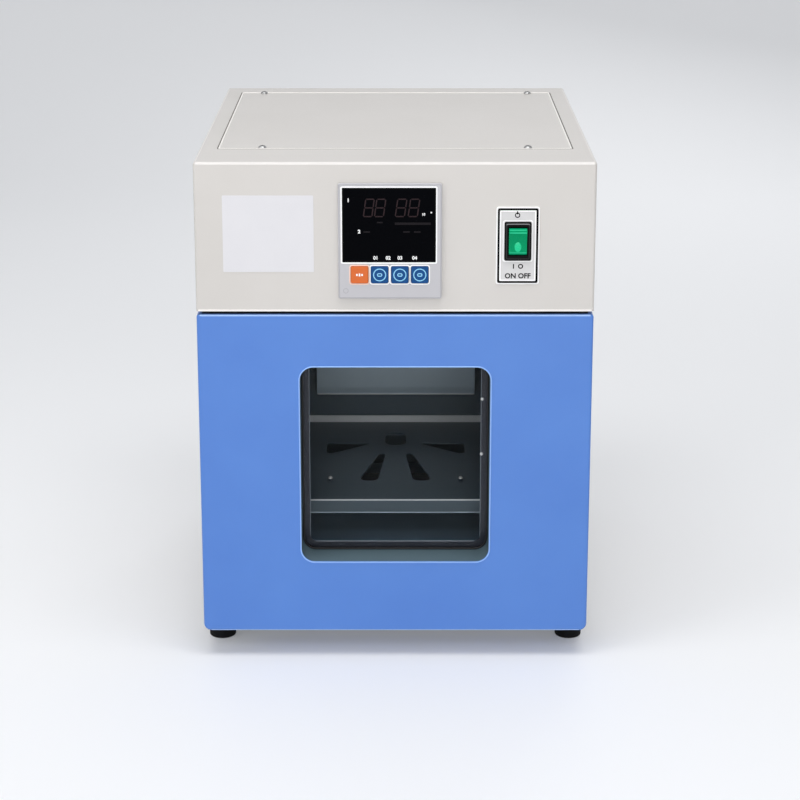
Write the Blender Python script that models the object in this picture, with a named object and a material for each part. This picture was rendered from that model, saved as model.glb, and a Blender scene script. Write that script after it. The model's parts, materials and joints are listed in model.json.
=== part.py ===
"""Bacteriological incubator: an insulated bench cabinet with a window door and a control housing above it.

Metres, +Z up, the door faces -Y. The origin is on the bench under the middle of the cabinet.
Every outline below is measured from the middle of the door's lower front edge: x across, y back from
the door's face and z up from the underside of the cabinet. An empty carries that point to its place.
"""
import math

import bmesh
import bpy
from mathutils import Matrix, Vector

# Cabinet
BODY_WIDTH = 0.370
BODY_DEPTH = 0.440
BODY_HEIGHT = 0.460
HOUSING_HEIGHT = 0.1407
SHEET = 0.0012
FIT = 0.0003
SHELL_RADIUS = 0.0025
LEDGE_WIDTH = 0.014
PAN_LIP = 0.012
FRAME_LIP = 0.010
DECK_START = 0.038

# Feet and screws
FOOT_HEIGHT = 0.027
FOOT_RADIUS = 0.013
FOOT_EDGE = 0.0010
FOOT_INSET = 0.0135
FOOT_RECESS_RADIUS = 0.0065
FOOT_RECESS_DEPTH = 0.012
SCREW_RADIUS = 0.0020
SCREW_LENGTH = 0.008
SCREW_HEAD_RADIUS = 0.0039
SCREW_HEAD_HEIGHT = 0.0022
SCREW_HEAD_RIM = 0.0011
SCREW_HEAD_FLAT = 0.0027
FOOT_SCREW_TIP = 0.0035

# Top cover and rear panel
COVER_SIDE_STRIP = 0.018
COVER_START = 0.068
COVER_REAR_STRIP = 0.032
COVER_SEAM = 0.0008
COVER_SCREW_FRONT_MARGIN = 0.0415
COVER_SCREW_REAR_MARGIN = 0.0240
COVER_SCREW_INSET = 0.0055
REAR_SCREW_INSET_X = 0.010
REAR_SCREW_INSET_Z = 0.030
LOUVRE_COUNT = 8
LOUVRE_LENGTH = 0.060
LOUVRE_HEIGHT = 0.0035
LOUVRE_PITCH = 0.009
LOUVRE_INSET = 0.095
LOUVRE_DROP = 0.110

# Door
DOOR_THICKNESS = 0.038
DOOR_GAP = 0.0031
GASKET_GAP = 0.006
GASKET_WIDTH = 0.012
GASKET_MARGIN = 0.018
GASKET_RADIUS = 0.010
WINDOW_WIDTH = 0.1790
WINDOW_BOTTOM = 0.0715
WINDOW_TOP_MARGIN = 0.0511
WINDOW_RADIUS = 0.0127
WINDOW_WALL = 0.0020
WINDOW_FLANGE = 0.008
SEAL_WIDTH = 0.0018
SEAL_DEPTH = 0.0040
GLASS_THICKNESS = 0.0030
PANEL_LIP = 0.0075

# Door hinge, on the left seen from the front
HINGE_INSET = 0.010
HINGE_DEPTH = 0.028
PIN_RADIUS = 0.0030
PIN_LENGTH = 0.011
PIN_HEAD_RADIUS = 0.0050
PIN_HEAD_HEIGHT = 0.0015
BUSH_RADIUS = 0.0052
BUSH_LENGTH = 0.014
BRACKET_THICKNESS = 0.0016
BRACKET_MARGIN = 0.009
BRACKET_TAIL = 0.028
BRACKET_TAIL_WIDTH = 0.026
BRACKET_FOOT_GAP = 0.002
BRACKET_STEP = 0.001

# Heated chamber
CHAMBER_SIDE_WALL = 0.045
CHAMBER_DEPTH = 0.296
CHAMBER_BOTTOM = 0.058
CHAMBER_TOP_MARGIN = 0.0262
CHAMBER_RADIUS = 0.006
LINER_SHEET = 0.0010
LINER_FLANGE = 0.010
INSULATION_REAR = 0.045

# Slotted plate and its two cross bars
PLATE_TOP = 0.1065
PLATE_SHEET = 0.0016
PLATE_START = 0.080
PLATE_END_GAP = 0.002
PLATE_SIDE_GAP = 0.0025
PLATE_FRONT_LIP = 0.014
PLATE_REAR_LIP = 0.0075
HOLE_DEPTH_FROM_FRONT = 0.276
HOLE_RADIUS = 0.0112
HOLE_STRETCH = 0.0105
SIDE_SLOT_TIP_X = 0.030
SIDE_SLOT_END_X = 0.068
SIDE_SLOT_TIP_Y = 0.259
SIDE_SLOT_END_Y = (0.232, 0.256)
SIDE_SLOT_RADII = (0.0020, 0.0050)
FRONT_SLOT_TIP = (0.0145, 0.222)
FRONT_SLOT_END = (0.0265, 0.146)
FRONT_SLOT_RADII = (0.0035, 0.0090)
STUD_X = 0.066
STUD_Y = 0.137
STUD_RADIUS = 0.0018
STUD_RISE = 0.0030
BAR_WIDTH = 0.012
BAR_SHEET = 0.0015
BAR_DROP = 0.016
REAR_BAR_Y = 0.300

# Duct cover, heater, sensor and vent
DUCT_WIDTH = 0.172
DUCT_DEPTH = 0.018
DUCT_BOTTOM = 0.141
DUCT_TOP_GAP = 0.008
DUCT_FLANGE = 0.010
HEATER_RADIUS = 0.0033
HEATER_LEG_X = 0.085
HEATER_RISE = 0.018
HEATER_START = 0.155
HEATER_BEND = 0.030
HEATER_BRACKET_Y = 0.215
HEATER_BRACKET_MARGIN = 0.012
PROBE_INSET = 0.030
PROBE_DROP = 0.085
PROBE_RADIUS = 0.0024
PROBE_LENGTH = 0.070
PROBE_TIP_RADIUS = 0.0014
PROBE_NUT_RADIUS = 0.0060
PROBE_NUT_LENGTH = 0.006
VENT_DROP = 0.045
VENT_BORE = 0.0095
VENT_WALL = 0.0015
VENT_FLANGE = 0.0015
VENT_FLANGE_MARGIN = 0.004
VENT_PIVOT_RISE = 0.024
VENT_PIVOT_RADIUS = 0.0020
VENT_EAR_RADIUS = 0.0055
DAMPER_THICKNESS = 0.0018
DAMPER_KNOB_RADIUS = 0.0040
DAMPER_KNOB_HEIGHT = 0.0060

# Controller
CONTROLLER_X = -0.0046
CONTROLLER_DROP = 0.0733
BEZEL_WIDTH = 0.0954
BEZEL_HEIGHT = 0.1084
BEZEL_THICKNESS = 0.0035
BEZEL_RADIUS = 0.0016
BEZEL_EDGE = 0.0006
CONTROLLER_DEPTH = 0.070
CONTROLLER_MARGIN = 0.0040
DISPLAY_WIDTH = 0.0863
DISPLAY_HEIGHT = 0.0700
DISPLAY_RISE = 0.0153
DISPLAY_OFFSET = -0.0009
DISPLAY_THICKNESS = 0.0020
KEY_ROW_DROP = 0.0314
KEY_CENTRES = {"key_set": -0.0282, "key_shift": -0.0096, "key_down": 0.0091, "key_up": 0.0275}
KEY_SIZE = 0.0160
KEY_RADIUS = 0.0015
KEY_RISE = 0.0010
KEY_EDGE = 0.0004
KEY_LENGTH = 0.0035

# Power switch
SWITCH_INSET = 0.0718
SWITCH_DROP = 0.0734
SWITCH_PLATE_WIDTH = 0.0375
SWITCH_PLATE_HEIGHT = 0.0706
SWITCH_PLATE_DROP = 0.0045
SWITCH_PLATE_SHEET = 0.0010
SWITCH_BEZEL_WIDTH = 0.0248
SWITCH_BEZEL_HEIGHT = 0.0365
SWITCH_BEZEL_THICKNESS = 0.0020
SWITCH_NECK_MARGIN = 0.0018
SWITCH_DEPTH = 0.024
ROCKER_WIDTH = 0.0168
ROCKER_HALF = 0.0126
ROCKER_RIDGE = 0.0100
ROCKER_PIVOT_DEPTH = 0.0025
ROCKER_RIDGE_RISE = 0.0024
ROCKER_END_RISE = 0.0010
ROCKER_DISH_RISE = 0.0004
ROCKER_BELLY = (0.0060, 0.0030)
ROCKER_SWING = math.radians(22.0)

# Electrical parts on the deck and the mains inlet
RELAY_SIZE = (0.045, 0.058, 0.026)
RELAY_PLACE = (-0.090, 0.200)
RELAY_STEP = (0.0087, 0.0104)
TERMINAL_SIZE = (0.070, 0.022, 0.012)
TERMINAL_PLACE = (0.060, 0.300)
TERMINAL_COUNT = 6
TERMINAL_POST_HEIGHT = 0.008
TERMINAL_WALL = 0.0029
INLET_INSET = 0.070
INLET_DROP = 0.075
INLET_FLANGE = (0.050, 0.026)
INLET_FLANGE_THICKNESS = 0.0025
INLET_BODY = (0.0275, 0.0200)
INLET_DEPTH = 0.024
INLET_MOUTH = (0.0240, 0.0160)
INLET_MOUTH_DEPTH = 0.015
INLET_PIN = (0.0020, 0.0050, 0.012)
INLET_PIN_PITCH = 0.007

# Facets of round pieces
ROUND = 24
SMALL_ROUND = 12
CORNER_STEPS = 4
WINDOW_STEPS = 8
SLOT_ROUND = 24

# Levels and planes that several pieces share
HALF = BODY_WIDTH / 2
INNER_HALF = HALF - SHEET
HOUSING_BOTTOM = BODY_HEIGHT - HOUSING_HEIGHT
DOOR_HEIGHT = HOUSING_BOTTOM - DOOR_GAP
CABINET_FRONT = DOOR_THICKNESS + GASKET_GAP
REAR_LEDGE = BODY_DEPTH - 2 * SHEET - FIT
PAN_HALF = INNER_HALF - SHEET - 2 * FIT
INSULATION_HALF = PAN_HALF - SHEET - FIT
CHAMBER_HALF = HALF - CHAMBER_SIDE_WALL
CHAMBER_TOP = DOOR_HEIGHT - CHAMBER_TOP_MARGIN
WINDOW_TOP = DOOR_HEIGHT - WINDOW_TOP_MARGIN
CHAMBER_REAR = CABINET_FRONT + CHAMBER_DEPTH
LINER_FRONT = CABINET_FRONT + SHEET + FIT
BRACKET_LEVEL = DOOR_HEIGHT + (DOOR_GAP - BRACKET_THICKNESS) / 2
FRAME_TOP = BRACKET_LEVEL - FIT
DECK_LEVEL = HOUSING_BOTTOM + SHEET + FIT
CONTROLLER_Z = BODY_HEIGHT - CONTROLLER_DROP
SWITCH_Z = BODY_HEIGHT - SWITCH_DROP
SWITCH_X = HALF - SWITCH_INSET
INLET_X = HALF - INLET_INSET
INLET_Z = BODY_HEIGHT - INLET_DROP
LOUVRE_X = LOUVRE_INSET - HALF
LOUVRE_Z = BODY_HEIGHT - LOUVRE_DROP
PROBE_X = CHAMBER_HALF - PROBE_INSET
PROBE_Z = CHAMBER_TOP - PROBE_DROP
VENT_Z = CHAMBER_TOP - VENT_DROP
COVER_HALF = HALF - COVER_SIDE_STRIP
COVER_END = BODY_DEPTH - COVER_REAR_STRIP
HINGE_X = HINGE_INSET - HALF
HINGE_AXIS = Vector((HINGE_X, HINGE_DEPTH, 0))
PLATE_BOTTOM = PLATE_TOP - PLATE_SHEET
PLATE_HALF = CHAMBER_HALF - PLATE_SIDE_GAP
PLATE_END = CHAMBER_REAR - PLATE_END_GAP
HEATER_Z = CHAMBER_BOTTOM + HEATER_RISE
BEZEL_FACE = -FIT - BEZEL_THICKNESS
SWITCH_PLATE_FACE = -FIT - SWITCH_PLATE_SHEET
SWITCH_FACE = SWITCH_PLATE_FACE - FIT - SWITCH_BEZEL_THICKNESS
ROCKER_AXIS = Vector((SWITCH_X, SWITCH_FACE + ROCKER_PIVOT_DEPTH, SWITCH_Z))
VENT_FACE = BODY_DEPTH + FIT + VENT_FLANGE
DAMPER_AXIS = Vector((0, VENT_FACE, VENT_Z + VENT_PIVOT_RISE))

FOOT_CENTRES = [
    (side * (HALF - FOOT_INSET), y)
    for y in (CABINET_FRONT + FOOT_INSET, BODY_DEPTH - FOOT_INSET)
    for side in (-1, 1)
]
COVER_SCREW_ROWS = (
    (COVER_HALF - COVER_SCREW_FRONT_MARGIN, COVER_START + COVER_SCREW_INSET),
    (COVER_HALF - COVER_SCREW_REAR_MARGIN, COVER_END - COVER_SCREW_INSET),
)
COVER_SCREWS = [(side * x, y) for x, y in COVER_SCREW_ROWS for side in (-1, 1)]
REAR_SCREWS = [
    (side * (INNER_HALF - REAR_SCREW_INSET_X), z)
    for z in (REAR_SCREW_INSET_Z, BODY_HEIGHT - REAR_SCREW_INSET_Z)
    for side in (-1, 1)
]


def srgb(red, green, blue):
    """Linear colour of a paint given as 0 to 255 values."""
    return tuple((value / 255) ** 2.2 for value in (red, green, blue)) + (1.0,)


LOOKS = {
    "housing": (srgb(212, 208, 203), 0.45, 0.0),
    "blue": (srgb(92, 139, 217), 0.42, 0.0),
    "dark_steel": (srgb(58, 68, 72), 0.38, 0.6),
    "steel": (srgb(185, 188, 190), 0.30, 1.0),
    "glass": (srgb(30, 38, 42), 0.05, 0.0),
    "rubber": (srgb(24, 24, 26), 0.75, 0.0),
    "wool": (srgb(205, 196, 150), 0.95, 0.0),
    "face": (srgb(200, 200, 208), 0.40, 0.0),
    "black": (srgb(22, 22, 24), 0.35, 0.0),
    "nylon": (srgb(225, 222, 210), 0.50, 0.0),
    "orange": (srgb(235, 105, 45), 0.45, 0.0),
    "key_blue": (srgb(30, 90, 150), 0.45, 0.0),
    "green": (srgb(10, 150, 100), 0.25, 0.0),
}


def to_object(name, shape):
    """Turn a bmesh into a linked object."""
    bmesh.ops.recalc_face_normals(shape, faces=shape.faces)
    mesh = bpy.data.meshes.new(name)
    shape.to_mesh(mesh)
    shape.free()
    item = bpy.data.objects.new(name, mesh)
    bpy.context.scene.collection.objects.link(item)
    return item


def prism(name, outline, axis, start, end):
    """Straight solid: an outline of (u, v) points carried along one axis."""
    order = {
        "X": lambda u, v, w: (w, u, v),
        "Y": lambda u, v, w: (u, w, v),
        "Z": lambda u, v, w: (u, v, w),
    }[axis]
    shape = bmesh.new()
    base = shape.faces.new([shape.verts.new(order(u, v, start)) for u, v in outline])
    swept = bmesh.ops.extrude_face_region(shape, geom=[base])
    moved = [item for item in swept["geom"] if isinstance(item, bmesh.types.BMVert)]
    bmesh.ops.translate(shape, verts=moved, vec=order(0, 0, end - start))
    return to_object(name, shape)


def box(name, x, y, z):
    """Block between pairs of x, y and z."""
    return prism(name, [(x[0], y[0]), (x[1], y[0]), (x[1], y[1]), (x[0], y[1])], "Z", z[0], z[1])


def rope_outline(pegs, count=ROUND):
    """Outline of a rope pulled tight round pegs (u, v, radius), anticlockwise."""
    turn = 2 * math.pi / count
    points = sorted(
        (u + radius * math.cos(turn * i), v + radius * math.sin(turn * i))
        for u, v, radius in pegs
        for i in range(count)
    )

    def half(run):
        chain = []
        for point in run:
            while len(chain) > 1:
                (au, av), (bu, bv) = chain[-2:]
                if (bu - au) * (point[1] - av) - (bv - av) * (point[0] - au) > 1e-12:
                    break
                chain.pop()
            chain.append(point)
        return chain[:-1]

    return half(points) + half(points[::-1])


def rounded(u, v, radius, steps=CORNER_STEPS):
    """Rectangle between pairs of u and v with round corners."""
    pegs = [(a, b, radius) for a in (u[0] + radius, u[1] - radius) for b in (v[0] + radius, v[1] - radius)]
    return rope_outline(pegs, 4 * steps)


def circle(u, v, radius, count=ROUND):
    """Round outline."""
    return rope_outline([(u, v, radius)], count)


def turned(name, profile, axis, centre, count=ROUND, ring=False):
    """Turned solid: (radius, distance) points spun about an axis through centre."""
    shape = bmesh.new()
    points = [shape.verts.new((radius, 0, distance)) for radius, distance in profile]
    pairs = list(zip(points, points[1:]))
    if ring:
        pairs.append((points[-1], points[0]))
    edges = [shape.edges.new(pair) for pair in pairs]
    bmesh.ops.spin(
        shape,
        geom=points + edges,
        angle=2 * math.pi,
        steps=count,
        axis=(0, 0, 1),
        cent=(0, 0, 0),
        use_merge=True,
    )
    bmesh.ops.remove_doubles(shape, verts=shape.verts, dist=1e-6)
    aim = Vector((0, 0, 1)).rotation_difference(Vector(axis)).to_matrix()
    bmesh.ops.rotate(shape, verts=shape.verts, matrix=aim, cent=(0, 0, 0))
    bmesh.ops.translate(shape, verts=shape.verts, vec=centre)
    item = to_object(name, shape)
    item.data.shade_smooth()
    item.data.set_sharp_from_angle(angle=math.radians(35))
    return item


def bake(item):
    """Make an object's modifiers part of its mesh."""
    seen = item.evaluated_get(bpy.context.evaluated_depsgraph_get())
    mesh = bpy.data.meshes.new_from_object(seen)
    item.modifiers.clear()
    item.data = mesh


def combine(item, tools, operation):
    """Boolean of an object with each tool in turn, after which the tools are gone."""
    for tool in tools:
        tool.hide_render = True
        tool.display_type = "WIRE"
        change = item.modifiers.new(tool.name, "BOOLEAN")
        change.solver = "EXACT"
        change.operation = operation
        change.object = tool
    bake(item)
    for tool in tools:
        bpy.data.objects.remove(tool)
    return item


def carve(item, *tools):
    """Cut each tool out of an object."""
    return combine(item, tools, "DIFFERENCE")


def weld(item, *tools):
    """Join each tool to an object."""
    return combine(item, tools, "UNION")


def round_edges(item, radius, steps, chosen):
    """Round the edges whose two ends satisfy a test."""
    shape = bmesh.new()
    shape.from_mesh(item.data)
    edges = [edge for edge in shape.edges if chosen(edge.verts[0].co, edge.verts[1].co)]
    bmesh.ops.bevel(shape, geom=edges, offset=radius, segments=steps, profile=0.5, affect="EDGES")
    shape.to_mesh(item.data)
    shape.free()
    return item


def near(value, target):
    """Whether a coordinate lies on a plane."""
    return abs(value - target) < 1e-6


def span(half):
    """Pair of coordinates on both sides of the middle."""
    return (-half, half)


def around(centre, size):
    """Pair of coordinates on both sides of a centre."""
    return (centre - size / 2, centre + size / 2)


def drills(places, radius, axis, start, end):
    """Round cutters at (u, v) places along one axis."""
    return [
        prism(f"cut_{axis}_{i}", circle(u, v, radius, SMALL_ROUND), axis, start, end)
        for i, (u, v) in enumerate(places)
    ]


def window_outline(offset):
    """Outline of the door's window, made larger or smaller by an offset."""
    half = WINDOW_WIDTH / 2 + offset
    levels = (WINDOW_BOTTOM - offset, WINDOW_TOP + offset)
    return rounded(span(half), levels, WINDOW_RADIUS + offset, WINDOW_STEPS)


def chamber_outline(offset):
    """Outline of the chamber's front opening, made larger or smaller by an offset."""
    levels = (CHAMBER_BOTTOM - offset, CHAMBER_TOP + offset)
    return rounded(span(CHAMBER_HALF + offset), levels, CHAMBER_RADIUS + max(offset, 0))


def tray(name, half, y, level, lip):
    """Sheet tray with its edge turned up on all four sides."""
    block = box(name, span(half), y, (level, level + lip))
    inside = (y[0] + SHEET, y[1] - SHEET)
    return carve(block, box("cut_tray", span(half - SHEET), inside, (level + SHEET, level + lip + SHEET)))


def cabinet_shell():
    """Folded and welded outer shell with the control housing's front."""
    outline = [
        (CABINET_FRONT, 0),
        (BODY_DEPTH, 0),
        (BODY_DEPTH, BODY_HEIGHT),
        (0, BODY_HEIGHT),
        (0, HOUSING_BOTTOM),
        (CABINET_FRONT, HOUSING_BOTTOM),
    ]
    shell = prism("cabinet_shell", outline, "X", -HALF, HALF)

    def outer(a, b):
        top = near(a.z, BODY_HEIGHT) and near(b.z, BODY_HEIGHT)
        front = near(a.y, 0) and near(b.y, 0)
        side = near(abs(a.x), HALF) and near(a.x, b.x)
        return (top and front) or (top and side) or (front and side)

    round_edges(shell, SHELL_RADIUS, 3, outer)
    lip_end = CABINET_FRONT + SHEET
    past = BODY_DEPTH + SHEET
    hollow = [
        (CABINET_FRONT - SHEET, -SHEET),
        (past, -SHEET),
        (past, BODY_HEIGHT - SHEET),
        (SHEET, BODY_HEIGHT - SHEET),
        (SHEET, HOUSING_BOTTOM + SHEET),
        (lip_end, HOUSING_BOTTOM + SHEET),
        (lip_end, HOUSING_BOTTOM),
        (CABINET_FRONT - SHEET, HOUSING_BOTTOM),
    ]
    carve(shell, prism("cut_hollow", hollow, "X", -INNER_HALF, INNER_HALF))

    seat = BODY_HEIGHT - SHEET - FIT
    top_ledge = box(
        "top_ledge",
        span(COVER_HALF + LEDGE_WIDTH / 2),
        (COVER_START - LEDGE_WIDTH / 2, COVER_END + LEDGE_WIDTH / 2),
        (seat - SHEET, BODY_HEIGHT - SHEET / 2),
    )
    top_hole = box(
        "cut_top_hole",
        span(COVER_HALF - LEDGE_WIDTH),
        (COVER_START + LEDGE_WIDTH, COVER_END - LEDGE_WIDTH),
        (seat - 2 * SHEET, BODY_HEIGHT + SHEET),
    )
    carve(top_ledge, top_hole)
    rear_levels = (0, BODY_HEIGHT - SHEET / 2)
    rear_ledge = box("rear_ledge", span(HALF - SHEET / 2), (REAR_LEDGE, REAR_LEDGE + SHEET), rear_levels)
    rear_hole = box(
        "cut_rear_hole",
        span(INNER_HALF - LEDGE_WIDTH),
        (REAR_LEDGE - SHEET, past),
        (LEDGE_WIDTH, seat - LEDGE_WIDTH),
    )
    carve(rear_ledge, rear_hole)
    weld(shell, top_ledge, rear_ledge)

    recess = box(
        "cut_recess",
        span(COVER_HALF + COVER_SEAM),
        (COVER_START - COVER_SEAM, COVER_END + COVER_SEAM),
        (seat, BODY_HEIGHT + SHEET),
    )
    half_body = BEZEL_WIDTH / 2 - CONTROLLER_MARGIN
    controller = box(
        "cut_controller",
        (CONTROLLER_X - half_body - FIT, CONTROLLER_X + half_body + FIT),
        (-SHEET, 2 * SHEET),
        around(CONTROLLER_Z, BEZEL_HEIGHT - 2 * CONTROLLER_MARGIN + 2 * FIT),
    )
    pin_head = prism(
        "cut_pin_head",
        circle(HINGE_X, HINGE_DEPTH, PIN_HEAD_RADIUS + FIT, SMALL_ROUND),
        "Z",
        HOUSING_BOTTOM - SHEET,
        HOUSING_BOTTOM + 2 * SHEET,
    )
    carve(shell, recess, controller, switch_neck("cut_neck", FIT, (-SHEET, 2 * SHEET)), pin_head)
    hole = SCREW_RADIUS + FIT
    carve(shell, *drills(COVER_SCREWS, hole, "Z", seat - 2 * SHEET, seat + SHEET))
    carve(shell, *drills(REAR_SCREWS, hole, "Y", REAR_LEDGE - SHEET, past))
    return shell


def top_cover():
    """Flat plate let into the top of the shell."""
    levels = (BODY_HEIGHT - SHEET, BODY_HEIGHT)
    cover = box("top_cover", span(COVER_HALF), (COVER_START, COVER_END), levels)
    return carve(cover, *drills(COVER_SCREWS, SCREW_RADIUS + FIT, "Z", levels[0] - SHEET, levels[1] + SHEET))


def rear_panel():
    """Screwed back plate with air slots, the vent's hole and the inlet's hole."""
    y = (BODY_DEPTH - SHEET, BODY_DEPTH)
    cut = (y[0] - SHEET, y[1] + SHEET)
    panel = box("rear_panel", span(INNER_HALF - FIT), y, (FIT, BODY_HEIGHT - SHEET - 2 * FIT))
    body = INLET_BODY
    inlet = box("cut_inlet", around(INLET_X, body[0] + 2 * FIT), cut, around(INLET_Z, body[1] + 2 * FIT))
    vent = prism("cut_vent", circle(0, VENT_Z, VENT_BORE + VENT_WALL + FIT), "Y", *cut)
    slots = []
    for i in range(LOUVRE_COUNT):
        level = around(LOUVRE_Z + i * LOUVRE_PITCH, LOUVRE_HEIGHT)
        slots.append(box(f"cut_slot_{i}", around(LOUVRE_X, LOUVRE_LENGTH), cut, level))
    carve(panel, inlet, vent, *slots)
    return carve(panel, *drills(REAR_SCREWS, SCREW_RADIUS + FIT, "Y", *cut))


def screw(name, place, axis, length):
    """Pan head screw whose head sits on a surface at place and faces along axis."""
    profile = [
        (0, -length),
        (SCREW_RADIUS, -length),
        (SCREW_RADIUS, 0),
        (SCREW_HEAD_RADIUS, 0),
        (SCREW_HEAD_RADIUS, SCREW_HEAD_RIM),
        (SCREW_HEAD_FLAT, SCREW_HEAD_HEIGHT),
        (0, SCREW_HEAD_HEIGHT),
    ]
    centre = Vector(place) + Vector(axis) * FIT
    return turned(name, profile, axis, centre, SMALL_ROUND)


def base_pan():
    """Bottom tray that carries the feet and the insulation."""
    pan = tray("base_pan", PAN_HALF, (LINER_FRONT, REAR_LEDGE - FIT), 0, PAN_LIP)
    return carve(pan, *drills(FOOT_CENTRES, SCREW_RADIUS + FIT, "Z", -SHEET, 2 * SHEET))


def component_deck():
    """Sheet tray over the chamber that carries the electrical parts."""
    return tray("component_deck", INNER_HALF - FIT, (DECK_START, REAR_LEDGE - FIT), DECK_LEVEL, PAN_LIP)


def front_frame():
    """Flat frame round the chamber's mouth, which the gasket meets."""
    half = INNER_HALF - FIT
    back = CABINET_FRONT + FRAME_LIP
    frame = box("front_frame", span(half), (CABINET_FRONT, back), (0, FRAME_TOP))
    inner = box(
        "cut_inner",
        span(half - SHEET),
        (CABINET_FRONT + SHEET, back + SHEET),
        (-SHEET, FRAME_TOP - SHEET),
    )
    mouth = prism("cut_mouth", chamber_outline(0), "Y", CABINET_FRONT - SHEET, back)
    return carve(frame, inner, mouth)


def vent_cutter(end):
    """Cutter for the vent tube from the chamber's back wall to a depth."""
    return prism("cut_vent", circle(0, VENT_Z, VENT_BORE + VENT_WALL + FIT), "Y", CHAMBER_REAR - SHEET, end)


def chamber_liner():
    """Seamless inner box of the chamber with a flange round its mouth."""
    outer = CHAMBER_REAR + LINER_SHEET
    liner = prism("chamber_liner", chamber_outline(LINER_SHEET), "Y", LINER_FRONT, outer)
    flange = prism("liner_flange", chamber_outline(LINER_FLANGE), "Y", LINER_FRONT, LINER_FRONT + LINER_SHEET)
    weld(liner, flange)
    hollow = prism("cut_hollow", chamber_outline(0), "Y", LINER_FRONT - SHEET, CHAMBER_REAR)
    return carve(liner, hollow, vent_cutter(outer + SHEET))


def chamber_insulation():
    """Mineral wool round the liner."""
    start = LINER_FRONT + LINER_SHEET + FIT
    end = CHAMBER_REAR + LINER_SHEET + INSULATION_REAR
    levels = (SHEET + FIT, FRAME_TOP - SHEET - FIT)
    wool = box("chamber_insulation", span(INSULATION_HALF), (start, end), levels)
    inside = chamber_outline(LINER_SHEET + FIT)
    hollow = prism("cut_hollow", inside, "Y", start - SHEET, CHAMBER_REAR + LINER_SHEET + FIT)
    tips = drills(FOOT_CENTRES, SCREW_RADIUS + FIT, "Z", 0, SHEET + FOOT_SCREW_TIP + FIT)
    return carve(wool, hollow, vent_cutter(end + SHEET), *tips)


def foot(name, x, y):
    """Rubber foot with a recess for its screw."""
    profile = [
        (FOOT_RECESS_RADIUS, -FOOT_HEIGHT),
        (FOOT_RADIUS - FOOT_EDGE, -FOOT_HEIGHT),
        (FOOT_RADIUS, FOOT_EDGE - FOOT_HEIGHT),
        (FOOT_RADIUS, -FIT),
        (SCREW_RADIUS + FIT, -FIT),
        (SCREW_RADIUS + FIT, FOOT_RECESS_DEPTH - FOOT_HEIGHT),
        (FOOT_RECESS_RADIUS, FOOT_RECESS_DEPTH - FOOT_HEIGHT),
    ]
    return turned(name, profile, (0, 0, 1), (x, y, 0), ROUND, ring=True)


def hinge_bracket_upper():
    """Flat hinge plate in the line between the door and the control housing."""
    left = HINGE_X - BRACKET_MARGIN
    right = HINGE_X + BRACKET_MARGIN
    inside = FIT - INNER_HALF
    start = HINGE_DEPTH - BRACKET_MARGIN
    step = CABINET_FRONT - FIT
    end = CABINET_FRONT + BRACKET_TAIL
    outline = [(left, start), (right, start), (right, end), (inside, end), (inside, step), (left, step)]
    plate = prism("hinge_bracket_upper", outline, "Z", BRACKET_LEVEL, BRACKET_LEVEL + BRACKET_THICKNESS)
    hole = [(HINGE_X, HINGE_DEPTH)]
    return carve(plate, *drills(hole, PIN_RADIUS + FIT, "Z", BRACKET_LEVEL - SHEET, HOUSING_BOTTOM))


def hinge_bracket_lower():
    """Cranked hinge plate under the door, which passes beside the front foot."""
    left = HINGE_X - BRACKET_MARGIN
    tail = FOOT_CENTRES[0][0] + FOOT_RADIUS + BRACKET_FOOT_GAP
    start = HINGE_DEPTH - BRACKET_MARGIN
    step = CABINET_FRONT - BRACKET_STEP
    end = CABINET_FRONT + BRACKET_TAIL
    outline = [
        (left, start),
        (tail + BRACKET_TAIL_WIDTH, start),
        (tail + BRACKET_TAIL_WIDTH, end),
        (tail, end),
        (tail, step),
        (left, step),
    ]
    bottom = -FIT - BRACKET_THICKNESS
    plate = prism("hinge_bracket_lower", outline, "Z", bottom, -FIT)
    hole = [(HINGE_X, HINGE_DEPTH)]
    return carve(plate, *drills(hole, PIN_RADIUS + FIT, "Z", bottom - SHEET, SHEET))


def hinge_pin(name, seat, direction):
    """Headed pin that passes through a hinge plate into the door's bush."""
    length = BRACKET_THICKNESS + FIT + PIN_LENGTH
    profile = [
        (0, length),
        (PIN_RADIUS, length),
        (PIN_RADIUS, 0),
        (PIN_HEAD_RADIUS, 0),
        (PIN_HEAD_RADIUS, -PIN_HEAD_HEIGHT),
        (0, -PIN_HEAD_HEIGHT),
    ]
    centre = (HINGE_X, HINGE_DEPTH, seat - direction * FIT)
    return turned(name, profile, (0, 0, direction), centre, 16)


def door_bush(name, start, end):
    """Nylon bush pressed into the door's edge."""
    bore = PIN_RADIUS + FIT
    profile = [(bore, start), (BUSH_RADIUS, start), (BUSH_RADIUS, end), (bore, end)]
    return turned(name, profile, (0, 0, 1), HINGE_AXIS, 16, ring=True)


def bush_cutters():
    """Cutters for the bushes at both ends of the door."""
    ring = circle(HINGE_X, HINGE_DEPTH, BUSH_RADIUS + FIT, 16)
    length = BUSH_LENGTH + FIT
    return (
        prism("cut_bush_lower", ring, "Z", -SHEET, length),
        prism("cut_bush_upper", ring, "Z", DOOR_HEIGHT - length, DOOR_HEIGHT + SHEET),
    )


def door_skin():
    """Folded outer tray of the door with the window's opening."""
    back = DOOR_THICKNESS - SHEET - FIT
    skin = box("door_skin", span(HALF), (0, back), (0, DOOR_HEIGHT))

    def outer(a, b):
        front = near(a.y, 0) and near(b.y, 0)
        upright = near(a.x, b.x) and near(a.y, b.y)
        return front or upright

    round_edges(skin, SHELL_RADIUS, 3, outer)
    hollow = box("cut_hollow", span(INNER_HALF), (SHEET, back + SHEET), (SHEET, DOOR_HEIGHT - SHEET))
    opening = prism("cut_window", window_outline(0), "Y", -SHEET, 2 * SHEET)
    return carve(skin, hollow, opening, *bush_cutters())


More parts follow.
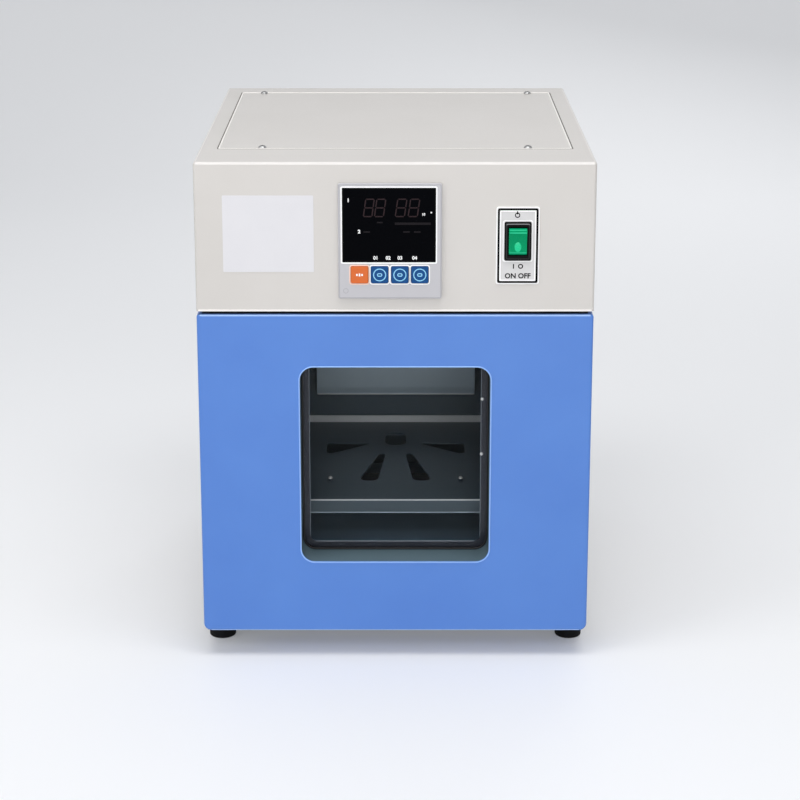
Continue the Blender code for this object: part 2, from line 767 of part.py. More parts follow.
def door_insulation():
    """Foam between the door's skin and its inner panel."""
    y = (SHEET + FIT, DOOR_THICKNESS - SHEET - FIT)
    foam = box("door_insulation", span(INNER_HALF - FIT), y, (SHEET + FIT, DOOR_HEIGHT - SHEET - FIT))
    opening = prism("cut_window", window_outline(WINDOW_FLANGE + FIT), "Y", y[0] - SHEET, y[1] + SHEET)
    return carve(foam, opening, *bush_cutters())


def door_inner_panel():
    """Inner sheet of the door, whose opening is a little smaller than the window."""
    y = (DOOR_THICKNESS - SHEET, DOOR_THICKNESS)
    outline = rounded(span(HALF - FIT), (FIT, DOOR_HEIGHT - FIT), SHELL_RADIUS)
    panel = prism("door_inner_panel", outline, "Y", *y)
    opening = prism("cut_window", window_outline(-PANEL_LIP), "Y", y[0] - SHEET, y[1] + SHEET)
    return carve(panel, opening)


def window_frame():
    """Moulded reveal that lines the window, with a flange behind the skin."""
    y = (SHEET + FIT, DOOR_THICKNESS - SHEET - FIT)
    frame = prism("window_frame", window_outline(FIT + WINDOW_WALL), "Y", *y)
    flange = prism("window_flange", window_outline(WINDOW_FLANGE), "Y", y[0], y[0] + WINDOW_WALL)
    weld(frame, flange)
    return carve(frame, prism("cut_window", window_outline(FIT), "Y", y[0] - SHEET, y[1] + SHEET))


def window_seal():
    """Rubber ring between the reveal and the glass."""
    back = DOOR_THICKNESS - SHEET - FIT
    seal = prism("window_seal", window_outline(0), "Y", back - SEAL_DEPTH, back)
    return carve(seal, prism("cut_seal", window_outline(-SEAL_WIDTH), "Y", 0, DOOR_THICKNESS))


def window_glass():
    """Glass pane against the lip of the inner panel."""
    back = DOOR_THICKNESS - SHEET - FIT
    return prism("window_glass", window_outline(-SEAL_WIDTH - FIT), "Y", back - GLASS_THICKNESS, back)


def door_gasket():
    """Magnetic gasket round the chamber's mouth."""
    y = (DOOR_THICKNESS + FIT, CABINET_FRONT - FIT)
    inner = GASKET_MARGIN - GASKET_WIDTH

    def ring(offset):
        levels = (CHAMBER_BOTTOM - offset, CHAMBER_TOP + offset)
        return rounded(span(CHAMBER_HALF + offset), levels, GASKET_RADIUS)

    gasket = prism("door_gasket", ring(GASKET_MARGIN), "Y", *y)
    return carve(gasket, prism("cut_gasket", ring(inner), "Y", y[0] - SHEET, y[1] + SHEET))


def slot_mirror(pegs):
    """A slot's pegs and their mirror image across the middle."""
    return [pegs, [(-u, v, radius) for u, v, radius in pegs]]


def shelf_plate():
    """Slotted plate with a lip down at the front and up at the rear."""
    outline = [
        (PLATE_START, PLATE_TOP - PLATE_FRONT_LIP),
        (PLATE_START + PLATE_SHEET, PLATE_TOP - PLATE_FRONT_LIP),
        (PLATE_START + PLATE_SHEET, PLATE_BOTTOM),
        (PLATE_END, PLATE_BOTTOM),
        (PLATE_END, PLATE_TOP + PLATE_REAR_LIP),
        (PLATE_END - PLATE_SHEET, PLATE_TOP + PLATE_REAR_LIP),
        (PLATE_END - PLATE_SHEET, PLATE_TOP),
        (PLATE_START, PLATE_TOP),
    ]
    plate = prism("shelf_plate", outline, "X", -PLATE_HALF, PLATE_HALF)
    tip_radius, end_radius = SIDE_SLOT_RADII
    side_slot = [(SIDE_SLOT_TIP_X, SIDE_SLOT_TIP_Y, tip_radius)]
    side_slot += [(SIDE_SLOT_END_X, y, end_radius) for y in SIDE_SLOT_END_Y]
    front_slot = [(*FRONT_SLOT_TIP, FRONT_SLOT_RADII[0]), (*FRONT_SLOT_END, FRONT_SLOT_RADII[1])]
    centre_hole = [(0, HOLE_DEPTH_FROM_FRONT + s * HOLE_STRETCH, HOLE_RADIUS) for s in (-1, 1)]
    slots = slot_mirror(side_slot) + slot_mirror(front_slot) + [centre_hole]
    cut = (PLATE_BOTTOM - PLATE_SHEET, PLATE_TOP + PLATE_SHEET)
    outlines = [rope_outline(pegs, SLOT_ROUND) for pegs in slots]
    carve(plate, *[prism(f"cut_slot_{i}", outline, "Z", *cut) for i, outline in enumerate(outlines)])
    studs = [(-STUD_X, STUD_Y), (STUD_X, STUD_Y)]
    return carve(plate, *drills(studs, STUD_RADIUS + 2 * FIT, "Z", *cut))


def cross_bar(name, y):
    """Bar under the plate with its ends turned down against the chamber's sides."""
    half = CHAMBER_HALF - FIT
    top = PLATE_BOTTOM - FIT
    outline = [
        (-half, top - BAR_DROP),
        (BAR_SHEET - half, top - BAR_DROP),
        (BAR_SHEET - half, top - BAR_SHEET),
        (half - BAR_SHEET, top - BAR_SHEET),
        (half - BAR_SHEET, top - BAR_DROP),
        (half, top - BAR_DROP),
        (half, top),
        (-half, top),
    ]
    return prism(name, outline, "Y", *around(y, BAR_WIDTH))


def shelf_support_front():
    """Front cross bar with the two studs that locate the plate."""
    bar = cross_bar("shelf_support_front", STUD_Y)
    start = PLATE_BOTTOM - FIT - BAR_SHEET / 2
    end = PLATE_TOP + STUD_RISE
    studs = [
        prism(f"stud_{side}", circle(side * STUD_X, STUD_Y, STUD_RADIUS, SMALL_ROUND), "Z", start, end)
        for side in (-1, 1)
    ]
    return weld(bar, *studs)


def duct_cover():
    """Hat shaped air duct on the chamber's back wall, open at its foot."""
    back = CHAMBER_REAR - FIT
    face = CHAMBER_REAR - DUCT_DEPTH
    half = DUCT_WIDTH / 2
    outer = half + DUCT_FLANGE
    right = [
        (outer, back - LINER_SHEET),
        (outer, back),
        (half - LINER_SHEET, back),
        (half - LINER_SHEET, face + LINER_SHEET),
    ]
    front = [(half, back - LINER_SHEET), (half, face)]
    outline = right + [(-x, y) for x, y in reversed(right)]
    outline += [(-x, y) for x, y in front] + list(reversed(front))
    return prism("duct_cover", outline, "Z", DUCT_BOTTOM, CHAMBER_TOP - DUCT_TOP_GAP)


def heater_element():
    """Sheathed heater tube bent to a U under the plate."""
    corner_y = HEATER_START + HEATER_BEND
    path = [(-HEATER_LEG_X, CHAMBER_REAR - FIT)]
    for side, angles in ((-1, range(180, 271, 15)), (1, range(270, 361, 15))):
        centre_x = side * (HEATER_LEG_X - HEATER_BEND)
        for angle in angles:
            turn = math.radians(angle)
            path.append((centre_x + HEATER_BEND * math.cos(turn), corner_y + HEATER_BEND * math.sin(turn)))
    path.append((HEATER_LEG_X, CHAMBER_REAR - FIT))
    curve = bpy.data.curves.new("heater_element", "CURVE")
    curve.dimensions = "3D"
    curve.bevel_depth = HEATER_RADIUS
    curve.bevel_resolution = 2
    curve.use_fill_caps = True
    spline = curve.splines.new("POLY")
    spline.points.add(len(path) - 1)
    for point, (x, y) in zip(spline.points, path):
        point.co = (x, y, HEATER_Z, 1)
    tube = bpy.data.objects.new("heater_element", curve)
    bpy.context.scene.collection.objects.link(tube)
    return tube


def heater_bracket():
    """Upright plate on the chamber's floor that holds both legs of the heater."""
    half = HEATER_LEG_X + HEATER_BRACKET_MARGIN
    bottom = CHAMBER_BOTTOM + FIT
    top = HEATER_Z + HEATER_BRACKET_MARGIN
    back = HEATER_BRACKET_Y + HEATER_BRACKET_MARGIN
    plate = box("heater_bracket", span(half), (HEATER_BRACKET_Y, HEATER_BRACKET_Y + BAR_SHEET), (bottom, top))
    flange_depth = (HEATER_BRACKET_Y + BAR_SHEET / 2, back)
    weld(plate, box("bracket_flange", span(half), flange_depth, (bottom, bottom + BAR_SHEET)))
    legs = [(-HEATER_LEG_X, HEATER_Z), (HEATER_LEG_X, HEATER_Z)]
    cut = (HEATER_BRACKET_Y - SHEET, HEATER_BRACKET_Y + 2 * SHEET)
    return carve(plate, *drills(legs, HEATER_RADIUS + 2 * FIT, "Y", *cut))


def sensor_probe():
    """Temperature probe on the chamber's back wall."""
    profile = [
        (0, 0),
        (PROBE_NUT_RADIUS, 0),
        (PROBE_NUT_RADIUS, PROBE_NUT_LENGTH),
        (PROBE_RADIUS, PROBE_NUT_LENGTH),
        (PROBE_RADIUS, PROBE_LENGTH - PROBE_RADIUS),
        (PROBE_TIP_RADIUS, PROBE_LENGTH),
        (0, PROBE_LENGTH),
    ]
    return turned("sensor_probe", profile, (0, -1, 0), (PROBE_X, CHAMBER_REAR - FIT, PROBE_Z), SMALL_ROUND)


def vent_tube():
    """Air vent from the duct through the insulation, with a flange on the rear panel."""
    outer = VENT_BORE + VENT_WALL
    tube = prism("vent_tube", circle(0, VENT_Z, outer), "Y", CHAMBER_REAR, VENT_FACE)
    pegs = [(0, VENT_Z, outer + VENT_FLANGE_MARGIN), (0, VENT_Z + VENT_PIVOT_RISE, VENT_EAR_RADIUS)]
    flange = prism("vent_flange", rope_outline(pegs), "Y", BODY_DEPTH + FIT, VENT_FACE)
    pivot = prism(
        "vent_pivot",
        circle(0, VENT_Z + VENT_PIVOT_RISE, VENT_PIVOT_RADIUS, SMALL_ROUND),
        "Y",
        VENT_FACE - VENT_FLANGE / 2,
        VENT_FACE + FIT + DAMPER_THICKNESS + FIT,
    )
    weld(tube, flange, pivot)
    bore = prism("cut_bore", circle(0, VENT_Z, VENT_BORE), "Y", CHAMBER_REAR - SHEET, VENT_FACE + SHEET)
    return carve(tube, bore)


def vent_damper():
    """Plate that hangs from the pivot over the vent's mouth, with a finger knob."""
    start = VENT_FACE + FIT
    end = start + DAMPER_THICKNESS
    pivot_z = VENT_Z + VENT_PIVOT_RISE
    pegs = [(0, VENT_Z, VENT_BORE + VENT_WALL), (0, pivot_z, VENT_EAR_RADIUS)]
    plate = prism("vent_damper", rope_outline(pegs), "Y", start, end)
    knob_outline = circle(0, VENT_Z, DAMPER_KNOB_RADIUS, 16)
    knob_depth = (start + DAMPER_THICKNESS / 2, end + DAMPER_KNOB_HEIGHT)
    weld(plate, prism("damper_knob", knob_outline, "Y", *knob_depth))
    return carve(plate, *drills([(0, pivot_z)], VENT_PIVOT_RADIUS + FIT, "Y", start - SHEET, end + SHEET))


def controller_body():
    """Case of the temperature controller behind the housing's front."""
    half = BEZEL_WIDTH / 2 - CONTROLLER_MARGIN
    levels = around(CONTROLLER_Z, BEZEL_HEIGHT - 2 * CONTROLLER_MARGIN)
    return box("controller_body", (CONTROLLER_X - half, CONTROLLER_X + half), (0, CONTROLLER_DEPTH), levels)


def display_outline(offset):
    """Outline of the display window, made larger or smaller by an offset."""
    centre = CONTROLLER_Z + DISPLAY_RISE
    return rounded(
        around(CONTROLLER_X + DISPLAY_OFFSET, DISPLAY_WIDTH + 2 * offset),
        around(centre, DISPLAY_HEIGHT + 2 * offset),
        BEZEL_RADIUS + offset,
    )


def key_outline(x, offset):
    """Outline of a key at a distance from the controller's middle."""
    size = KEY_SIZE + 2 * offset
    across = around(CONTROLLER_X + x, size)
    return rounded(across, around(CONTROLLER_Z - KEY_ROW_DROP, size), KEY_RADIUS + offset)


def controller_bezel():
    """Front frame of the controller with openings for the display and the keys."""
    face = rounded(around(CONTROLLER_X, BEZEL_WIDTH), around(CONTROLLER_Z, BEZEL_HEIGHT), BEZEL_RADIUS)
    bezel = prism("controller_bezel", face, "Y", BEZEL_FACE, -FIT)
    round_edges(bezel, BEZEL_EDGE, 2, lambda a, b: near(a.y, BEZEL_FACE) and near(b.y, BEZEL_FACE))
    cut = (BEZEL_FACE - SHEET, SHEET)
    openings = [prism("cut_display", display_outline(FIT), "Y", *cut)]
    openings += [prism(f"cut_{name}", key_outline(x, FIT), "Y", *cut) for name, x in KEY_CENTRES.items()]
    return carve(bezel, *openings)


def display_window():
    """Smoked display window let into the bezel."""
    start = BEZEL_FACE + FIT
    return prism("display_window", display_outline(0), "Y", start, start + DISPLAY_THICKNESS)


def key(name, x):
    """Push key in the bezel."""
    start = BEZEL_FACE - KEY_RISE
    cap = prism(name, key_outline(x, 0), "Y", start, start + KEY_LENGTH)
    return round_edges(cap, KEY_EDGE, 2, lambda a, b: near(a.y, start) and near(b.y, start))


def switch_neck(name, offset, y):
    """Part of the switch that passes through the plate and the housing's front."""
    width = SWITCH_BEZEL_WIDTH - 2 * SWITCH_NECK_MARGIN + 2 * offset
    height = SWITCH_BEZEL_HEIGHT - 2 * SWITCH_NECK_MARGIN + 2 * offset
    return box(name, around(SWITCH_X, width), y, around(SWITCH_Z, height))


def switch_plate():
    """Thin plate round the power switch."""
    outline = rounded(
        around(SWITCH_X, SWITCH_PLATE_WIDTH),
        around(SWITCH_Z - SWITCH_PLATE_DROP, SWITCH_PLATE_HEIGHT),
        BEZEL_RADIUS,
    )
    plate = prism("switch_plate", outline, "Y", SWITCH_PLATE_FACE, -FIT)
    return carve(plate, switch_neck("cut_neck", FIT, (SWITCH_PLATE_FACE - SHEET, SHEET)))


def switch_body():
    """Snap-in body of the rocker switch with its bezel and pocket."""
    levels = around(SWITCH_Z, SWITCH_BEZEL_HEIGHT)
    outline = rounded(around(SWITCH_X, SWITCH_BEZEL_WIDTH), levels, BEZEL_RADIUS)
    back = SWITCH_FACE + SWITCH_BEZEL_THICKNESS
    body = prism("switch_body", outline, "Y", SWITCH_FACE, back)
    round_edges(body, BEZEL_EDGE, 2, lambda a, b: near(a.y, SWITCH_FACE) and near(b.y, SWITCH_FACE))
    weld(body, switch_neck("neck", 0, (back - SHEET, back + SWITCH_DEPTH)))
    half = math.hypot(ROCKER_PIVOT_DEPTH + ROCKER_END_RISE, ROCKER_HALF) + FIT
    depth = ROCKER_PIVOT_DEPTH + math.hypot(*ROCKER_BELLY) + FIT
    pocket = box(
        "cut_pocket",
        around(SWITCH_X, ROCKER_WIDTH + 2 * FIT),
        (SWITCH_FACE - SHEET, SWITCH_FACE + depth),
        (SWITCH_Z - half, SWITCH_Z + half),
    )
    return carve(body, pocket)


def rocker_profile():
    """Side outline of the rocker about its pivot, tilted to its rest with the upper end out."""
    belly_depth, belly_half = ROCKER_BELLY
    upper = [
        (ROCKER_PIVOT_DEPTH + ROCKER_DISH_RISE, 0),
        (ROCKER_PIVOT_DEPTH + ROCKER_RIDGE_RISE, ROCKER_RIDGE),
        (ROCKER_PIVOT_DEPTH + ROCKER_END_RISE, ROCKER_HALF),
        (-ROCKER_END_RISE, ROCKER_HALF),
        (-belly_depth, belly_half),
    ]
    points = upper + [(rise, -z) for rise, z in reversed(upper[1:])]
    tilt = Matrix.Rotation(ROCKER_SWING / 2, 2)
    turned_points = [tilt @ Vector((-rise, z)) for rise, z in points]
    return [(point.x, point.y) for point in turned_points]


def rocker():
    """Rocker of the power switch."""
    outline = [(ROCKER_AXIS.y + y, ROCKER_AXIS.z + z) for y, z in rocker_profile()]
    return prism("rocker", outline, "X", SWITCH_X - ROCKER_WIDTH / 2, SWITCH_X + ROCKER_WIDTH / 2)


def relay():
    """Solid state relay on the deck."""
    width, depth, height = RELAY_SIZE
    x, y = RELAY_PLACE
    floor = DECK_LEVEL + SHEET + FIT
    block = box("relay", around(x, width), around(y, depth), (floor, floor + height))
    step_depth, step_drop = RELAY_STEP
    tops = (floor + height - step_drop, floor + height + SHEET)
    steps = [
        box(f"cut_step_{side}", around(x, width + SHEET), around(y + side * depth / 2, 2 * step_depth), tops)
        for side in (-1, 1)
    ]
    return carve(block, *steps)


def terminal_block():
    """Terminal strip on the deck with a wall between every two posts."""
    width, depth, height = TERMINAL_SIZE
    x, y = TERMINAL_PLACE
    floor = DECK_LEVEL + SHEET + FIT
    strip = box("terminal_block", around(x, width), around(y, depth), (floor, floor + height))
    pitch = width / TERMINAL_COUNT
    slots = []
    for i in range(TERMINAL_COUNT):
        centre = x - width / 2 + pitch * i + pitch / 2
        levels = (floor + height - TERMINAL_POST_HEIGHT, floor + height + SHEET)
        across = around(centre, pitch - TERMINAL_WALL)
        slots.append(box(f"cut_post_{i}", across, around(y, depth + SHEET), levels))
    return carve(strip, *slots)


def power_inlet():
    """Mains inlet in the rear panel with its three pins."""
    inner = BODY_DEPTH - INLET_DEPTH
    face = BODY_DEPTH + FIT + INLET_FLANGE_THICKNESS
    inlet = box("power_inlet", around(INLET_X, INLET_BODY[0]), (inner, face), around(INLET_Z, INLET_BODY[1]))
    ears = rope_outline(
        [
            (INLET_X + side * (INLET_FLANGE[0] - INLET_FLANGE[1]) / 2, INLET_Z, INLET_FLANGE[1] / 2)
            for side in (-1, 1)
        ]
    )
    weld(inlet, prism("inlet_flange", ears, "Y", BODY_DEPTH + FIT, face))
    floor = face - INLET_MOUTH_DEPTH
    across = around(INLET_X, INLET_MOUTH[0])
    mouth = box("cut_mouth", across, (floor, face + SHEET), around(INLET_Z, INLET_MOUTH[1]))
    carve(inlet, mouth)
    thick, high, long = INLET_PIN
    pins = [
        box(
            f"pin_{i}",
            around(INLET_X + i * INLET_PIN_PITCH, thick),
            (floor - SHEET, floor + long),
            around(INLET_Z, high),
        )
        for i in (-1, 0, 1)
    ]
    return weld(inlet, *pins)


def dress(item, look):
    """Give an object its own material."""
    colour, roughness, metallic = LOOKS[look]
    material = bpy.data.materials.new(item.name)
    material.use_nodes = True
    shader = material.node_tree.nodes["Principled BSDF"]
    shader.inputs["Base Color"].default_value = colour
    shader.inputs["Roughness"].default_value = roughness
    shader.inputs["Metallic"].default_value = metallic
    item.data.materials.clear()
    item.data.materials.append(material)


def empty(name, place, parent=None):
    """Named point that carries pieces."""
    point = bpy.data.objects.new(name, None)
    bpy.context.scene.collection.objects.link(point)
    point.empty_display_size = 0.02
    point.location = place
    point.parent = parent
    return point


def hang(item, parent, origin=None):
    """Parent an object, with its origin moved to a point if one is given."""
    if origin is not None:
        item.data.transform(Matrix.Translation(-Vector(origin)))
        item.location = origin
    item.parent = parent


def hang_on_hinge(item, hinge):
    """Parent a piece of the door to the hinge without moving it."""
    item.data.transform(Matrix.Translation(-HINGE_AXIS))
    item.parent = hinge


def fixed_pieces():
    """Every piece that stays with the cabinet, with its look."""
    shell_pieces = [
        (cabinet_shell(), "housing"),
        (top_cover(), "housing"),
        (rear_panel(), "housing"),
        (base_pan(), "steel"),
        (front_frame(), "housing"),
        (component_deck(), "steel"),
        (chamber_liner(), "dark_steel"),
        (chamber_insulation(), "wool"),
        (hinge_bracket_upper(), "steel"),
        (hinge_bracket_lower(), "steel"),
        (hinge_pin("hinge_pin_upper", BRACKET_LEVEL + BRACKET_THICKNESS, -1), "steel"),
        (hinge_pin("hinge_pin_lower", -FIT - BRACKET_THICKNESS, 1), "steel"),
    ]
    chamber_pieces = [
        (shelf_support_front(), "dark_steel"),
        (cross_bar("shelf_support_rear", REAR_BAR_Y), "dark_steel"),
        (duct_cover(), "dark_steel"),
        (heater_element(), "steel"),
        (heater_bracket(), "steel"),
        (sensor_probe(), "steel"),
        (vent_tube(), "steel"),
    ]
    control_pieces = [
        (controller_body(), "black"),
        (controller_bezel(), "face"),
        (display_window(), "black"),
        (switch_plate(), "face"),
        (switch_body(), "black"),
        (relay(), "black"),
        (terminal_block(), "nylon"),
        (power_inlet(), "black"),
    ]
    fasteners = []
    for i, (x, y) in enumerate(FOOT_CENTRES, 1):
        seat = FOOT_HEIGHT - FOOT_RECESS_DEPTH
        length = seat + SHEET + FOOT_SCREW_TIP
        fasteners.append((foot(f"foot_{i}", x, y), "rubber"))
        fasteners.append((screw(f"foot_screw_{i}", (x, y, -seat), (0, 0, -1), length), "steel"))
    for i, (x, y) in enumerate(COVER_SCREWS, 1):
        fasteners.append((screw(f"cover_screw_{i}", (x, y, BODY_HEIGHT), (0, 0, 1), SCREW_LENGTH), "steel"))
    for i, (x, z) in enumerate(REAR_SCREWS, 1):
        fasteners.append((screw(f"rear_screw_{i}", (x, BODY_DEPTH, z), (0, 1, 0), SCREW_LENGTH), "steel"))
    return shell_pieces + chamber_pieces + control_pieces + fasteners


def door_pieces():
    """Every piece that swings with the door, with its look."""
    return [
        (door_skin(), "blue"),
        (door_inner_panel(), "dark_steel"),
        (door_insulation(), "wool"),
        (window_frame(), "dark_steel"),
        (window_seal(), "rubber"),
        (window_glass(), "glass"),
        (door_gasket(), "rubber"),
        (door_bush("door_bush_lower", 0, BUSH_LENGTH), "nylon"),
        (door_bush("door_bush_upper", DOOR_HEIGHT - BUSH_LENGTH, DOOR_HEIGHT), "nylon"),
    ]


def build():
    """Clear the scene and build the incubator."""
    for item in list(bpy.data.objects):
        bpy.data.objects.remove(item)
    front_reach = -min(ROCKER_AXIS.y + y for y, z in rocker_profile())
    rear_reach = VENT_FACE + FIT + DAMPER_THICKNESS + DAMPER_KNOB_HEIGHT - BODY_DEPTH
    front_y = (front_reach - BODY_DEPTH - rear_reach) / 2

    fixed = fixed_pieces()
    swinging = door_pieces()
    keys = [(key(name, x), "orange" if name == "key_set" else "key_blue") for name, x in KEY_CENTRES.items()]
    moving = [
        (rocker(), "green", ROCKER_AXIS),
        (shelf_plate(), "dark_steel", (0, PLATE_START, PLATE_TOP)),
        (vent_damper(), "steel", DAMPER_AXIS),
    ]
    moving += [
        (item, look, (CONTROLLER_X + KEY_CENTRES[item.name], BEZEL_FACE, CONTROLLER_Z - KEY_ROW_DROP))
        for item, look in keys
    ]

    root = empty("incubator", (0, front_y, FOOT_HEIGHT))
    hinge = empty("door_hinge", HINGE_AXIS, root)
    for item, look in fixed:
        dress(item, look)
        hang(item, root)
    for item, look in swinging:
        dress(item, look)
        hang_on_hinge(item, hinge)
    for item, look, origin in moving:
        dress(item, look)
        hang(item, root, origin)


build()
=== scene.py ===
import json
import math

import bmesh
import bpy
from mathutils import Matrix, Vector

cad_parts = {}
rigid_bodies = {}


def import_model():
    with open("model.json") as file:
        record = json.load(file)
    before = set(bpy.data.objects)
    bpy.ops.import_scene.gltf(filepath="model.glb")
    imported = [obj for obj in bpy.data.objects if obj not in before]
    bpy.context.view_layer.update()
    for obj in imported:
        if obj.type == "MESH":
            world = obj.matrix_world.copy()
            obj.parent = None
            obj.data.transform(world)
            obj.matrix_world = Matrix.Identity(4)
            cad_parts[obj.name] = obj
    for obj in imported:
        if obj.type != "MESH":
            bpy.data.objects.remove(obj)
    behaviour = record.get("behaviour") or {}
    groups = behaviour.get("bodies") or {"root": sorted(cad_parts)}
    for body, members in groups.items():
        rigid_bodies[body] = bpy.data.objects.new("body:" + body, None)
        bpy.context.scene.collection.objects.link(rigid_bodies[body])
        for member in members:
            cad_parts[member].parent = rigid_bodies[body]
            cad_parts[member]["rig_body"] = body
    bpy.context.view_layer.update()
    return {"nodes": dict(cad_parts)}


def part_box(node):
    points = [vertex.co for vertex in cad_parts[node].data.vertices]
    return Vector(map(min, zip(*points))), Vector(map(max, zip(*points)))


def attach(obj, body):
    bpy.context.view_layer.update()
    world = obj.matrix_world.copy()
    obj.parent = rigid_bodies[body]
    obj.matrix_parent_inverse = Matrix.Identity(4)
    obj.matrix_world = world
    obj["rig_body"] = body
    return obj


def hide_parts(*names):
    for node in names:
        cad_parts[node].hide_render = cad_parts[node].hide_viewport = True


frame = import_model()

# View, floor and light. The camera stands two metres in front of the door's face, above the cabinet, and looks
# down at it through a long lens. The floor is a pale sheet that rises to a backdrop behind the incubator, and
# large soft lamps light the front and the top.
CAMERA_SIDE = 0.0046
CAMERA_DISTANCE = 2.0
CAMERA_HEIGHT = 0.837
CAMERA_TILT = 15.353
ROOM_WHITE = (0.97, 0.98, 1.0, 1.0)
ROOM_GLOW = 0.50
PAPER_GLOW = 0.14
shell_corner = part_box("cabinet_shell")[0]
front_y = shell_corner.y
base_z = shell_corner.z


def add_object(name, data):
    """Linked object of a mesh, camera or lamp."""
    item = bpy.data.objects.new(name, data)
    bpy.context.scene.collection.objects.link(item)
    return item


def linear(red, green, blue):
    """Scene colour of a paint given as 0 to 255 values."""
    return tuple((value / 255) ** 2.2 for value in (red, green, blue)) + (1.0,)


def wire(tree, *links):
    """Join nodes of a tree, with each link given as a node, its output, the next node and its input."""
    for source, output, target, entry in links:
        tree.links.new(source.outputs[output], target.inputs[entry])


def backdrop_mesh(width, depth, height, bend, steps=12):
    """Floor sheet that curves up to an upright wall behind."""
    profile = [(-depth, 0.0), (depth - bend, 0.0)]
    for i in range(1, steps + 1):
        turn = math.pi / 2 * i / steps
        profile.append((depth - bend + bend * math.sin(turn), bend - bend * math.cos(turn)))
    profile.append((depth, height))
    mesh = bpy.data.meshes.new("floor")
    points = [(side * width, y, z) for side in (-1, 1) for y, z in profile]
    count = len(profile)
    faces = [(i, count + i, count + i + 1, i + 1) for i in range(count - 1)]
    mesh.from_pydata(points, [], faces)
    mesh.shade_smooth()
    return mesh


camera_data = bpy.data.cameras.new("camera")
camera_data.lens = 99.96
camera_data.sensor_width = 36.0
camera_data.shift_y = -0.07
camera = add_object("camera", camera_data)
camera.location = (CAMERA_SIDE, front_y - CAMERA_DISTANCE, base_z + CAMERA_HEIGHT)
camera.rotation_euler = (math.radians(90 - CAMERA_TILT), 0, 0)
bpy.context.scene.camera = camera
bpy.context.scene.view_settings.view_transform = "Standard"

floor = add_object("floor", backdrop_mesh(width=6.0, depth=3.4, height=4.0, bend=1.4))
floor_paper = bpy.data.materials.new("pale_paper")
floor_paper.use_nodes = True
paper_tree = floor_paper.node_tree
paper_shader = paper_tree.nodes["Principled BSDF"]
paper_shader.inputs["Base Color"].default_value = linear(226, 227, 229)
paper_shader.inputs["Roughness"].default_value = 0.6
paper_shader.inputs["Emission Color"].default_value = ROOM_WHITE
ray = paper_tree.nodes.new("ShaderNodeLightPath")
mirrored, seen, glow = (paper_tree.nodes.new("ShaderNodeMath") for _ in range(3))
mirrored.operation = seen.operation = "MAXIMUM"
glow.operation = "MULTIPLY"
glow.inputs[1].default_value = PAPER_GLOW
wire(
    paper_tree,
    (ray, "Is Camera Ray", mirrored, 0),
    (ray, "Is Glossy Ray", mirrored, 1),
    (mirrored, "Value", seen, 0),
    (ray, "Is Transmission Ray", seen, 1),
    (seen, "Value", glow, 0),
    (glow, "Value", paper_shader, "Emission Strength"),
)
floor.data.materials.append(floor_paper)

world = bpy.data.worlds.new("studio")
world.use_nodes = True
room = world.node_tree.nodes["Background"]
room.inputs["Color"].default_value = ROOM_WHITE
room.inputs["Strength"].default_value = ROOM_GLOW
bpy.context.scene.world = world

for name, place, aim, size, power, in_gloss in (
    ("front_strip", (0.0, -2.3, 1.75), (0, 0, 0.30), (2.4, 0.35), 6.4, True),
    ("low_front", (0.10, -2.7, 0.60), (0, 0, 0.24), (1.2, 0.5), 12.3, True),
    ("left_lamp", (-1.9, -1.3, 1.2), (0, 0, 0.25), (1.2, 1.2), 9, True),
    ("top_lamp", (0.0, -0.7, 2.1), (0, -0.1, 0.4), (1.8, 0.8), 20, True),
    ("rear_lamp", (0.6, 2.3, 1.3), (0, 0, 0.3), (1.2, 1.2), 10, False),
):
    lamp = bpy.data.lights.new(name, "AREA")
    lamp.shape = "RECTANGLE"
    lamp.size, lamp.size_y = size
    lamp.energy = power
    softbox = add_object(name, lamp)
    softbox.location = place
    softbox.rotation_euler = (Vector(aim) - Vector(place)).to_track_quat("-Z", "Y").to_euler()
    softbox.visible_glossy = in_gloss

# Outer shell: one folded and welded sheet steel wrap with the control housing's front, powder coated a warm
# light grey. The coat has a fine orange peel and a faint change of tone over the large faces. The lighter tone
# on the bends, and the light hem along the housing's lower edge, are painted highlights.
POWDER_GLOSS = (0.36, 0.48)
POWDER_PEEL = 0.00003
CREASE = math.radians(32)
HOUSING_BOTTOM = 0.3193
HEM_HALF = 0.1830
HEM_HEIGHT = 0.0018
HEM_RISE = 0.0005


def add_group(name, inputs, outputs):
    """Empty shader group with number inputs and outputs."""
    group = bpy.data.node_groups.new(name, "ShaderNodeTree")
    for label, value in inputs.items():
        socket = group.interface.new_socket(label, in_out="INPUT", socket_type="NodeSocketFloat")
        socket.default_value = value
    for label in outputs:
        group.interface.new_socket(label, in_out="OUTPUT", socket_type="NodeSocketFloat")
    return group, group.nodes.new("NodeGroupInput"), group.nodes.new("NodeGroupOutput")


def grain_group():
    """Fine grain and broad cloud of a coated or moulded surface, in object space."""
    group, entry, result = add_group("surface_grain", {"Grain": 900.0, "Cloud": 9.0}, ("Grain", "Cloud"))
    place = group.nodes.new("ShaderNodeTexCoord")
    for label, detail in (("Grain", 2.0), ("Cloud", 4.0)):
        noise = group.nodes.new("ShaderNodeTexNoise")
        noise.inputs["Detail"].default_value = detail
        wire(group, (place, "Object", noise, "Vector"), (entry, label, noise, "Scale"), (noise, "Fac", result, label))
    return group


